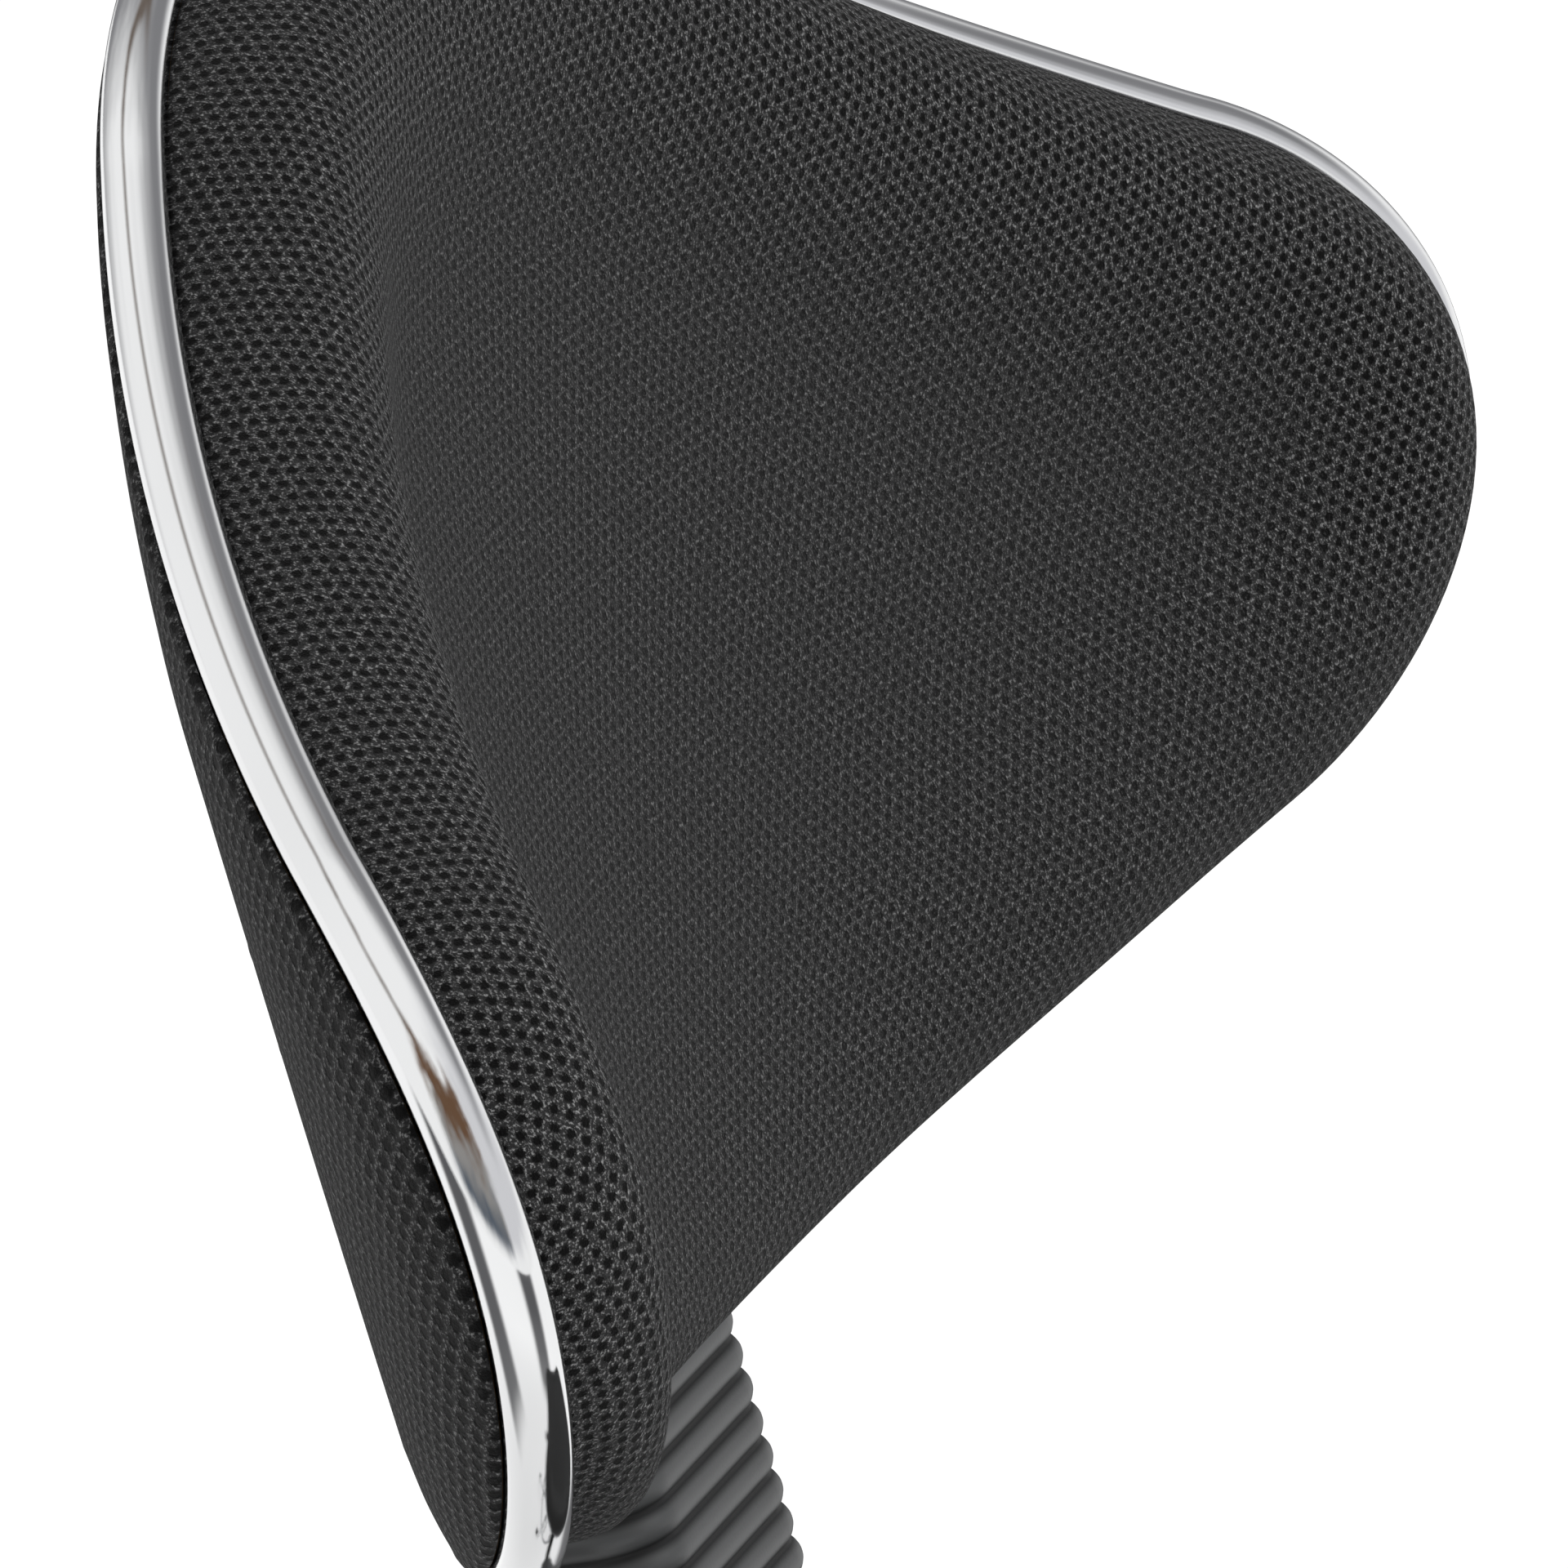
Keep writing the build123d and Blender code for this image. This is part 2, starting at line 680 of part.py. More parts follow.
def back_outline(inset, half_width):
    """Backrest outline of tangent arcs, drawn in by the inset: crown, shoulders, wings and hem."""
    slope = math.radians(shoulder_slope)
    normal = Vector(math.sin(slope), math.cos(slope))
    wing_x = half_width - wing_radius
    shoulder = wing_x * normal.X + wing_rise * normal.Y + wing_radius
    crown_z = (shoulder - crown_radius) / normal.Y
    fall = wing_rise + back_drop
    hem_radius = (wing_x ** 2 + fall ** 2 - wing_radius ** 2) / (2 * (fall - wing_radius))
    hem_z = hem_radius - back_drop
    hem_normal = Vector(wing_x, wing_rise - hem_z).normalized()
    crown_end = Vector(0, crown_z) + normal * (crown_radius - inset)
    wing_start = Vector(wing_x, wing_rise) + normal * (wing_radius - inset)
    wing_tip = Vector(half_width - inset, wing_rise)
    hem_start = Vector(wing_x, wing_rise) + hem_normal * (wing_radius - inset)
    crown_top = Vector(0, crown_z + crown_radius - inset)
    hem_bottom = Vector(0, inset - back_drop)

    def mirrored(point):
        return Vector(-point.X, point.Y)

    edges = [
        ThreePointArc(mirrored(crown_end), crown_top, crown_end),
        Line(crown_end, wing_start),
        ThreePointArc(wing_start, wing_tip, hem_start),
        ThreePointArc(hem_start, hem_bottom, mirrored(hem_start)),
        ThreePointArc(mirrored(hem_start), mirrored(wing_tip), mirrored(wing_start)),
        Line(mirrored(wing_start), mirrored(crown_end)),
    ]
    return make_face(Wire(edges))


def wrapped_slab(inset, front, rear):
    """The backrest outline wrapped round the cylinder, between two depths behind the trim's middle."""
    tall = 2 * (crown_radius + back_drop)
    middle = (front + rear) / 2
    half_width = back_half_width * (wrap_radius + middle) / wrap_radius
    prism = extrude(Plane.XZ * back_outline(inset, half_width), wrap_radius, both=True)
    prism &= block(-wrap_radius, wrap_radius, -wrap_radius, wrap_radius, -tall, tall)
    shell = Pos(0, -wrap_radius, 0) * tube(wrap_radius + rear, wrap_radius + front, -tall / 2, tall / 2)
    return shell & prism


def wrapped_face(slab, depth):
    """The face of a wrapped slab that lies at the given depth."""
    round_faces = slab.faces().filter_by(GeomType.CYLINDER)
    return round_faces.sort_by(lambda face: abs(face.radius - wrap_radius - depth))[0]


def back_place(shape):
    """Put a shape made in the backrest's own frame into the chair."""
    return back_plane.location * shape


def back_trim():
    """Bright strip round the backrest between front cushion and rear panel."""
    half = trim_width / 2
    return back_place(wrapped_slab(0, -half, half) - wrapped_slab(trim_depth, -half, half))


def back_bolt_places():
    """Centres of the four bolts through the carriage's ears."""
    x = carriage_half_width + carriage_ear / 2
    inset = carriage_ear / 2
    return [(side * x, z) for side in (-1, 1) for z in (carriage_low + inset, carriage_high - inset)]


def board_rear_at(x):
    """Depth of the board's rear face at a distance from the middle."""
    radius = wrap_radius + back_board_thickness / 2
    return math.sqrt(radius ** 2 - x ** 2) - wrap_radius


def ear_rear():
    """Depth of the rear face of the carriage's ears."""
    return board_rear_at(carriage_half_width + carriage_ear) + carriage_ear_thickness


def along_depth(shape, x, z):
    """Turn a shape made on the z axis so that its z points backwards in the backrest's frame."""
    return Pos(x, 0, z) * Rot(-90, 0, 0) * shape


def back_bolt_hole(x, z):
    """Bore for one bolt through an ear and into the board."""
    face = board_rear_at(x)
    return along_depth(rod(back_bolt_radius + press_clearance, face - back_bolt_depth, rear_panel_rear), x, z)


def back_board():
    """Curved plywood board that carries the cushion and the carriage."""
    half = back_board_thickness / 2
    board = wrapped_slab(back_inset, -half, half)
    for x, z in back_bolt_places():
        board -= back_bolt_hole(x, z)
    return back_place(board)


def back_cushion():
    """Foam back pad under its mesh cover."""
    rear = -back_board_thickness / 2 - soft_clearance
    front = rear - back_cushion_thickness
    pad = wrapped_slab(back_inset, front, rear)
    return back_place(chamfer(wrapped_face(pad, front).edges(), back_cushion_bevel))


def rear_panel():
    """Thin rear shell with a round spine over the carriage, room for carriage and bar, and a screw hole."""
    tall = 2 * (crown_radius + back_drop)
    spine = wrapped_slab(back_inset, rear_panel_front, rear_panel_rear)
    spine = chamfer(wrapped_face(spine, rear_panel_rear).edges(), rear_panel_bevel)
    spine &= Pos(0, rear_panel_rear - spine_radius, 0) * Cylinder(spine_radius, tall)
    panel = spine + wrapped_slab(back_inset, rear_panel_front, rear_panel_front + rear_panel_skin)
    half = carriage_half_width + carriage_room
    wide = half + carriage_ear
    head_room = ear_rear() + back_bolt_head_height + carriage_room
    high = bar_top + back_travel_down + carriage_room
    panel -= block(-half, half, -wrap_radius, carriage_rear + carriage_room, -2 * back_drop, high)
    panel -= block(-wide, wide, -wrap_radius, head_room, -2 * back_drop, high)
    screw_room = rod(screw_radius + carriage_room, 0, 2 * rear_panel_rear)
    return back_place(panel - along_depth(screw_room, 0, height_knob_z))


def back_carriage():
    """Guide on the bar, with ears bolted to the board and a lip that holds the bellows."""
    half = carriage_half_width
    body = block(-half, half, -wrap_radius / 2, carriage_rear, carriage_low, carriage_high)
    wide = half + carriage_ear
    body += block(-wide, wide, -wrap_radius / 2, ear_rear(), carriage_low, carriage_high)
    tall = 2 * (crown_radius + back_drop)
    body -= Pos(0, -wrap_radius, 0) * Cylinder(wrap_radius + back_board_thickness / 2, tall)
    neck_front = trim_width / 2 + carriage_neck_gap
    body += block(-half, half, neck_front, carriage_rear, carriage_lip_top, carriage_low)
    lip = Pos(0, bellows_offset) * RectangleRounded(bellows_width, bellows_depth, bellows_round)
    body += Pos(0, 0, bellows_top) * extrude(lip, carriage_lip_height)
    body -= bar_room(carriage_gap)
    for x, z in back_bolt_places():
        body -= back_bolt_hole(x, z)
    screw_bore = rod(screw_radius + running_fit, bar_offset, 2 * rear_panel_rear)
    return back_place(body - along_depth(screw_bore, 0, height_knob_z))


def bar_room(gap):
    """Channel for the upright part of the bar, in the backrest's frame."""
    half = bar_width / 2 + gap
    depth = bar_thickness / 2 + gap
    reach = wrap_radius
    return block(-half, half, bar_offset - depth, bar_offset + depth, -2 * reach, reach)


def back_bolts():
    """Four bolts that hold the carriage to the back board."""
    bolts = []
    for x, z in back_bolt_places():
        tip = board_rear_at(x) - back_bolt_depth
        bolt = rod(back_bolt_radius, tip, ear_rear())
        bolt += rod(back_bolt_head_radius, ear_rear(), ear_rear() + back_bolt_head_height)
        bolts.append(back_place(along_depth(bolt, x, z)))
    return Compound(children=bolts)


def height_knob():
    """Knob behind the backrest that clamps the carriage to the bar."""
    knob = clamp_knob(bar_offset + bar_thickness / 2 + carriage_gap, rear_panel_rear)
    return back_place(along_depth(knob, 0, height_knob_z))


def sleeve_section(shrink):
    """Rounded section of the bellows, drawn in all round."""
    width = bellows_width - 2 * shrink
    depth = bellows_depth - 2 * shrink
    return Pos(0, bellows_offset) * RectangleRounded(width, depth, bellows_round - shrink)


def bellows():
    """Ribbed plastic sleeve round the upright, from the lower collar to the carriage's lip."""
    bottom = bellows_top - bellows_length
    sleeve = extrude(sleeve_section(bellows_rib_depth), bellows_length)
    rib = extrude(sleeve_section(0), bellows_pitch / 2)
    sleeve = sleeve + [Pos(0, 0, index * bellows_pitch) * rib for index in range(bellows_rib_count)]
    sleeve -= extrude(sleeve_section(bellows_rib_depth + bellows_wall), bellows_length)
    return back_place(Pos(0, 0, bottom) * sleeve)


def bellows_collar():
    """Plastic collar on the bar that holds the lower end of the bellows."""
    collar = extrude(sleeve_section(0), bellows_collar_height)
    low = bellows_top - bellows_length - bellows_collar_height
    return back_place(Pos(0, 0, low) * collar - bar_room(press_clearance))


def main():
    os.makedirs("parts", exist_ok=True)
    for index in range(leg_count):
        place = caster_place(index)
        number = index + 1
        save(f"caster_hood_{number}", place * caster_hood())
        save(f"caster_stem_{number}", place * caster_stem())
        save(f"caster_axle_{number}", place * caster_axle())
        save(f"caster_wheel_left_{number}", place * caster_wheel(-1))
        save(f"caster_wheel_right_{number}", place * caster_wheel(1))
    for maker in (star_base, column_tube, guide_bush, thrust_bearing, piston_rod, rod_clip, piston_head,
                  pressure_cylinder, rod_guide, release_pin, foot_ring, foot_ring_sleeve, foot_ring_knob,
                  seat_mechanism, seat_bolts, lever_pivot, height_lever, lever_grip, seat_board,
                  armrest_inserts, seat_cushion, seat_trim, seat_under_cover, bar_guide, back_bar,
                  depth_knob, back_trim, back_board, back_cushion, rear_panel, back_carriage, back_bolts,
                  height_knob, bellows, bellows_collar):
        save(maker.__name__, maker())


main()
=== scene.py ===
import json
import math

import bpy
import numpy as np
from bpy.props import FloatProperty, FloatVectorProperty, IntProperty, PointerProperty
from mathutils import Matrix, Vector


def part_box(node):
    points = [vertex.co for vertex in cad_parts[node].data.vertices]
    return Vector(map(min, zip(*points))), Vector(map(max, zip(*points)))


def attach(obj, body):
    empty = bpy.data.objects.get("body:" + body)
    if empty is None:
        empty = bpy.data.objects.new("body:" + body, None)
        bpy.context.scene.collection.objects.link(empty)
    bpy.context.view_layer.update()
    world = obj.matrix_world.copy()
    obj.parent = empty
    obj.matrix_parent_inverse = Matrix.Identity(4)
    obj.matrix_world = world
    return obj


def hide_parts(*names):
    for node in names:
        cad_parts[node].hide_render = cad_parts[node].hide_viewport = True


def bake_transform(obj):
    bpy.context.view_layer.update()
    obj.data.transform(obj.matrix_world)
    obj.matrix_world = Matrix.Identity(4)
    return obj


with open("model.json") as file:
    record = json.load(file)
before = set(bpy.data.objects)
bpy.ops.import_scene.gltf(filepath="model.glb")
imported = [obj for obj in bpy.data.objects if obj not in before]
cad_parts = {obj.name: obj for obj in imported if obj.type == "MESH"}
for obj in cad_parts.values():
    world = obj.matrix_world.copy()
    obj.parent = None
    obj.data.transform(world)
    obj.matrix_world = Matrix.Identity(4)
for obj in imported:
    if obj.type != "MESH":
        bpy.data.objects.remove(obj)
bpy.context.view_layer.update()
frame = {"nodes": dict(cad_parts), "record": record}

bl_info = {
    "name": "Drafting chair",
    "version": (1, 0, 0),
    "blender": (4, 5, 0),
    "location": "View3D > Sidebar > Chair",
    "description": "Dresses a drafting chair with mesh pads, bright strips, bellows and finishes",
    "category": "Object",
}

# Image, camera and stage
image_side = 1920.0
sensor_width = 36.0
floor_side = 24.0
white_shade = (1.0, 1.0, 1.0)

# Layers on the meshes
cloth_map = "cloth"
rib_map = "ribs"
stretch_map = "stretch"

# Rows and columns of the meshes
front_rows = 46
rear_rows = 6
pad_points = 288
back_strip_points = 420
seat_strip_points = 360


def length(name, description, default):
    """A size in metres that a user may change."""
    return FloatProperty(name=name, description=description, default=default, unit="LENGTH", precision=4)


def turn(name, description, degrees):
    """An angle that a user may change."""
    return FloatProperty(name=name, description=description, default=math.radians(degrees), subtype="ANGLE")


def share_of(name, description, default):
    """A plain share that a user may change."""
    return FloatProperty(name=name, description=description, default=default, min=0.0, max=2.0)


def colour(name, description, red, green, blue):
    """A colour that a user may change."""
    return FloatVectorProperty(
        name=name, description=description, default=(red, green, blue), subtype="COLOR", min=0.0, max=1.0)


class BackSizes(bpy.types.PropertyGroup):
    """Sizes of the backrest, an oval wrapped round an upright cylinder and leaned back."""
    lean: turn("Lean", "How far the backrest leans back", 17.0)
    behind: length("Behind the column", "Backrest middle behind the lift column", 0.314)
    height: length("Height", "Backrest middle above the floor", 0.965)
    half_width: length("Half width", "From the middle to a wing's tip", 0.235)
    drop: length("Drop", "From the middle down to the hem", 0.0895)
    crown_radius: length("Crown radius", "Radius of the top edge", 0.1545)
    shoulder_slope: turn("Shoulder slope", "Slope of the edge between crown and wing", 36.4)
    wing_radius: length("Wing radius", "Radius of the edge at the wings", 0.0735)
    wing_rise: length("Wing rise", "Height of the wings' centres above the middle", 0.0045)
    wrap_radius: length("Wrap radius", "Radius of the cylinder the backrest is wrapped round", 0.337)
    strip_width: length("Strip width", "Width of the bright strip that shows", 0.0106)
    strip_depth: length("Strip depth", "How deep the bright strip reaches in from the edge", 0.006)
    strip_edge: length("Strip edge", "Radius of the bright strip's edges", 0.0015)
    strip_turn: turn("Strip turn", "How far the strip's face turns from its middle to its edges", 72.0)
    roll_height: length("Rolled edge", "Height of the pad's rolled edge before the strip's middle", 0.0285)
    roll_crown: length("Roll at the crown", "How much higher the rolled edge is at the crown", 0.0030)
    roll_hem: length("Roll at the hem", "How much lower the rolled edge is at the hem's middle", 0.0075)
    hem_bulge: length("Bulge at the hem", "How far the rolled edge stands out over the strip below", 0.0022)
    roll_foot: length("Foot of the roll", "Height from which the rolled edge rises or sinks", 0.0105)
    bulge_foot: length("Foot of the bulge", "Height from which the rolled edge stands out", 0.0085)
    roll_blend: length("Roll blend", "Distance over which the rolled edge falls to the centre", 0.050)
    panel_height: length("Centre panel", "Height of the pad's centre before the strip's middle", 0.0215)
    slack: share_of("Slack", "How much less the cloth is stretched at the pad's centre", 0.8)
    hem_slack: share_of("Slack at the hem", "How much less the cloth is stretched along the hem", 0.55)
    rear_stretch: share_of("Rear stretch", "How much the rear panel's cloth is stretched", 1.35)
    rim_slack: share_of("Slack at the rim", "How much less the rear cloth is stretched at the strip", 1.2)
    rear_cloth: FloatVectorProperty(
        name="Rear cloth", description="Size of the rear panel's cloth before it is pulled tight, as shares",
        size=2, default=(0.68, 0.86))
    rear_skin: length("Rear panel", "How far the rear panel stands behind the strip's middle", 0.0103)
    spine_depth: length("Spine", "How far the rear panel's spine stands behind the strip's middle", 0.0303)
    spine_radius: length("Spine radius", "Radius of the rear panel's spine", 0.118)
    spine_top: length("Spine top", "Height above the middle at which the spine has faded out", 0.150)
    spine_fade: length("Spine fade", "Length over which the spine fades out", 0.085)


class SeatSizes(bpy.types.PropertyGroup):
    """Sizes of the seat, a rounded square."""
    corner_radius: length("Corner radius", "Radius of the seat's corners", 0.105)
    slack: share_of("Slack", "How much less the cloth is stretched at the pad's centre", 0.6)
    roll_height: length("Rolled edge", "How far the rolled edge stands above the pad's middle", 0.008)
    hollow: length("Hollow", "How far the pad's middle lies below its rim", 0.002)
    strip_depth: length("Strip depth", "How deep the bright strip reaches in from the edge", 0.005)
    strip_edge: length("Strip edge", "Radius of the bright strip's edges", 0.0015)
    strip_turn: turn("Strip turn", "How far the strip's face turns from its middle to its edges", 72.0)


class BellowsSizes(bpy.types.PropertyGroup):
    """Sizes of the ribbed sleeve on the upright."""
    width: length("Width", "Sleeve from side to side", 0.0632)
    depth: length("Depth", "Sleeve from front to back", 0.0372)
    corner_radius: length("Corner radius", "Radius of the sleeve's corners", 0.0125)
    offset: length("Offset", "Sleeve's middle behind the strip's middle", 0.018)
    top: length("Top", "Sleeve's upper end above the backrest's middle", -0.090)
    pitch: length("Rib pitch", "From one rib to the next", 0.0063)
    rib_depth: length("Rib depth", "Depth of the grooves between the ribs", 0.0016)
    wall: length("Wall", "Thickness of the sleeve's wall", 0.002)
    ribs: IntProperty(name="Ribs", description="Number of ribs", default=34, min=4, max=60)


class Finishes(bpy.types.PropertyGroup):
    """Colours of the chair's finishes and the scale of its cloth."""
    hole_pitch: length("Hole pitch", "From one hole of a row in the mesh cloth to the next", 0.0036)
    hole_rise: length("Hole rise", "From one row of holes to the next but one", 0.0048)
    yarn: colour("Yarn", "Mesh cloth between its holes", 0.036, 0.036, 0.0365)
    # Painted highlights on the cloth's fibres
    yarn_light: colour("Yarn glints", "Fibres of the mesh cloth that catch light", 0.50, 0.50, 0.50)
    hole: colour("Holes", "Mesh cloth inside its holes", 0.002, 0.002, 0.002)
    chrome: colour("Chrome", "Bright strips and tubes", 0.82, 0.825, 0.83)
    bellows: colour("Bellows", "Ribbed sleeve", 0.070, 0.072, 0.073)
    moulding: colour("Mouldings", "Black moulded plastic", 0.022, 0.022, 0.023)
    wheel: colour("Wheels", "Caster tyres", 0.035, 0.035, 0.037)
    paint: colour("Black paint", "Powder coat on steel", 0.018, 0.018, 0.019)
    steel: colour("Bare steel", "Plated bolts and pins", 0.56, 0.57, 0.58)
    alloy: colour("Alloy", "Polished alloy base", 0.72, 0.725, 0.73)
    wood: colour("Plywood", "Boards inside seat and backrest", 0.52, 0.36, 0.20)


class StageSettings(bpy.types.PropertyGroup):
    """Camera and light."""
    azimuth: turn("Azimuth", "Camera's turn round the backrest, from straight in front", -68.33)
    elevation: turn("Elevation", "Camera's height angle", 20.51)
    distance: length("Distance", "Camera from the backrest's middle", 1.8)
    scale: FloatProperty(
        name="Scale", description="Pixels of the image per metre at the backrest", default=7305.0, min=1.0)
    middle: FloatVectorProperty(
        name="Middle", description="Pixel at which the backrest's middle lies", size=2,
        default=(649.7, 1045.3))
    key_light: FloatProperty(
        name="Key light", description="Power of the large lamp in front", default=34.0, unit="POWER")
    fill_light: FloatProperty(
        name="Fill light", description="Power of each of the smaller lamps", default=3.0, unit="POWER")
    surround: FloatProperty(
        name="Surround", description="Even light from all round", default=0.27, min=0.0)
    room_turn: turn("Room", "Turn from the camera to the dark room that bright metal mirrors", 6.0)


# Shader maths

class Value:
    """A node's output, with operators that add Math nodes."""

    def __init__(self, finish, socket):
        self.finish = finish
        self.socket = socket

    def math(self, operation, *values):
        return self.finish.node("ShaderNodeMath", {"operation": operation}, values)

    def __add__(self, other):
        return self.math("ADD", self, other)

    def __sub__(self, other):
        return self.math("SUBTRACT", self, other)

    def __mul__(self, other):
        return self.math("MULTIPLY", self, other)

    def __truediv__(self, other):
        return self.math("DIVIDE", self, other)

    def __radd__(self, other):
        return self.math("ADD", other, self)

    def __rsub__(self, other):
        return self.math("SUBTRACT", other, self)

    def __rmul__(self, other):
        return self.math("MULTIPLY", other, self)

    def fraction(self):
        return self.math("FRACT", self)

    def root(self):
        return self.math("SQRT", self)

    def size(self):
        return self.math("ABSOLUTE", self)

    def smaller(self, other):
        return self.math("MINIMUM", self, other)

    def larger(self, other):
        return self.math("MAXIMUM", self, other)

    def ease(self, none, full):
        """0 at none, 1 at full, smooth between and level beyond them."""
        settings = {"interpolation_type": "SMOOTHSTEP"}
        low, high = sorted((none, full))
        ends = (0.0, 1.0) if none < full else (1.0, 0.0)
        return self.finish.node("ShaderNodeMapRange", settings, (self, low, high, *ends))


class Finish:
    """A node tree under construction."""

    def __init__(self, tree):
        self.tree = tree
        self.tree.nodes.clear()

    def node(self, kind, settings, values, output=0):
        """Add a node, set it up, fill or link its inputs, and give one of its outputs."""
        node = self.tree.nodes.new(kind)
        for name, setting in settings.items():
            setattr(node, name, setting)
        pairs = values.items() if isinstance(values, dict) else enumerate(values)
        for key, value in pairs:
            if isinstance(value, Value):
                self.tree.links.new(value.socket, node.inputs[key])
            else:
                node.inputs[key].default_value = value
        return Value(self, node.outputs[output]) if node.outputs else None

    def place(self):
        """The surface's place in the chair."""
        return self.node("ShaderNodeTexCoord", {}, {}, "Object")

    def parts(self, vector):
        """The three numbers of a vector."""
        return [self.node("ShaderNodeSeparateXYZ", {}, (vector,), axis) for axis in range(3)]

    def stretched(self, vector, scale):
        """A place drawn out by three factors."""
        return self.node("ShaderNodeMapping", {}, {"Vector": vector, "Scale": scale})

    def noise(self, vector, scale, detail=2.0, roughness=0.5):
        """Cloudy numbers round a half."""
        values = {"Vector": vector, "Scale": scale, "Detail": detail, "Roughness": roughness}
        return self.node("ShaderNodeTexNoise", {}, values)

    def blend(self, share, first, second):
        """A colour between two colours."""
        # Inputs of a Mix node: the share, and its two colours
        values = {0: share, 6: opaque(first), 7: opaque(second)}
        return self.node("ShaderNodeMix", {"data_type": "RGBA"}, values, 2)

    def soft_edges(self, radius):
        """A normal that rounds a solid's sharp edges."""
        return self.node("ShaderNodeBevel", {"samples": 4}, {"Radius": radius})

    def bump(self, height, strength, distance, normal=None):
        """A normal that follows a height."""
        values = {"Strength": strength, "Distance": distance, "Height": height}
        if normal is not None:
            values["Normal"] = normal
        return self.node("ShaderNodeBump", {}, values)

    def surface(self, values):
        """The main shader, joined to the output."""
        shader = self.node("ShaderNodeBsdfPrincipled", {}, values)
        self.node("ShaderNodeOutputMaterial", {}, {"Surface": shader})


def opaque(value):
    """A colour with its alpha, or a linked colour as it is."""
    if isinstance(value, Value):
        return value
    return (*value, 1.0)


def new_finish(name):
    """An empty material and its node tree."""
    material = bpy.data.materials.new(name)
    material.use_nodes = True
    return material, Finish(material.node_tree)


def lighter(shade, factor):
    """A colour made lighter or darker."""
    return tuple(min(1.0, part * factor) for part in shade)


# Finishes

def mesh_cloth(finishes):
    """Black spacer mesh: staggered holes in a fibrous knit, open where it is stretched over an edge, with
    painted highlights on its fibres.
    """
    material, finish = new_finish("mesh_cloth")
    cloth = finish.node("ShaderNodeUVMap", {"uv_map": cloth_map}, {})
    drift = finish.noise(cloth, 330.0) - 0.5
    fibre = finish.noise(cloth, 1500.0, detail=3.0, roughness=0.75)
    strand = finish.noise(finish.stretched(cloth, (1.0, 0.5, 1.0)), 2400.0, roughness=0.7)
    fray = fibre - 0.5
    tall = finishes.hole_rise / finishes.hole_pitch
    across, up, _ = finish.parts(cloth)
    across = across / finishes.hole_pitch + drift * 0.24
    up = up / finishes.hole_rise + fray * 0.12

    def distance(shift):
        """How far a point is from the nearest hole of one set, in hole pitches."""
        x = (across + shift).fraction() - 0.5
        y = ((up + shift).fraction() - 0.5) * tall
        return (x * x + y * y).root()

    stretch = finish.node("ShaderNodeAttribute", {"attribute_name": stretch_map}, {}, "Fac")
    reach = distance(0.0).smaller(distance(0.5)) + fray * 0.17
    pulled = stretch.smaller(1.0)
    opened = stretch.larger(1.0) * 0.5 + 0.5
    hole_rim = 0.33
    hole_floor = 0.155
    hole = (reach / opened).ease(hole_rim, hole_floor) * (pulled * 0.5 + 0.5)
    # Glints: painted highlights on the fibres, weaker where the cloth is slack
    glint = (fibre * 0.5 + strand * 0.5).ease(0.49, 0.65) * (pulled * 0.6 + 0.4)
    knit = finish.blend(glint, finishes.yarn, finishes.yarn_light)
    shade = finish.blend(hole, knit, finishes.hole)
    height = (1.0 - hole) + fibre * (pulled * 0.5 + 0.4)
    finish.surface({
        "Base Color": shade,
        "Roughness": 0.78,
        "Specular IOR Level": 0.18,
        "Sheen Weight": 0.04,
        "Sheen Roughness": 0.4,
        "Normal": finish.bump(height, strength=0.8, distance=0.0012),
    })
    return material


def bright_metal(name, shade, smooth, rough):
    """Plated or polished metal with faint wipe marks."""
    material, finish = new_finish(name)
    place = finish.place()
    wipes = finish.noise(finish.stretched(place, (30.0, 30.0, 9.0)), 4.0, detail=4.0, roughness=0.6)
    tone = finish.noise(place, 14.0)
    finish.surface({
        "Base Color": finish.blend(tone.ease(0.3, 0.8), shade, lighter(shade, 0.94)),
        "Metallic": 1.0,
        "Roughness": wipes.ease(0.35, 0.8) * (rough - smooth) + smooth,
        "Normal": finish.soft_edges(0.0006),
    })
    return material


def ribbed_rubber(name, shade):
    """Soft ribbed sleeve with a cloudy tone, painted shade in its grooves and painted light on its ribs'
    crests.
    """
    material, finish = new_finish(name)
    sleeve = finish.node("ShaderNodeUVMap", {"uv_map": rib_map}, {})
    _, rib, _ = finish.parts(sleeve)
    place = finish.place()
    fine = finish.noise(place, 1700.0, roughness=0.6)
    cloud = finish.noise(place, 26.0, detail=3.0)
    # Painted light on the ribs' crests and painted shade in their grooves, set by each rib's phase
    crest = 1.0 - ((rib.fraction() - 0.5) * 2.0).size()
    lit = crest.ease(0.02, 0.62)
    lit_crest_tone = finish.blend(cloud.ease(0.3, 0.75), shade, lighter(shade, 1.25))
    finish.surface({
        "Base Color": finish.blend(lit, lighter(shade, 0.10), lit_crest_tone),
        "Roughness": 0.58 - lit * 0.16 + (cloud - 0.5) * 0.1,
        "Specular IOR Level": 0.45,
        "Normal": finish.bump(fine, strength=0.16, distance=0.0002),
    })
    return material


def moulded(name, shade, grain, roughness, sheen):
    """Moulded plastic with a spark-eroded grain."""
    material, finish = new_finish(name)
    place = finish.place()
    fine = finish.noise(place, grain, roughness=0.6)
    cloud = finish.noise(place, 22.0, detail=3.0)
    finish.surface({
        "Base Color": finish.blend(cloud.ease(0.3, 0.75), shade, lighter(shade, 1.25)),
        "Roughness": cloud * 0.12 + (roughness - 0.06),
        "Specular IOR Level": sheen,
        "Normal": finish.bump(fine, strength=0.16, distance=0.0002, normal=finish.soft_edges(0.0009)),
    })
    return material


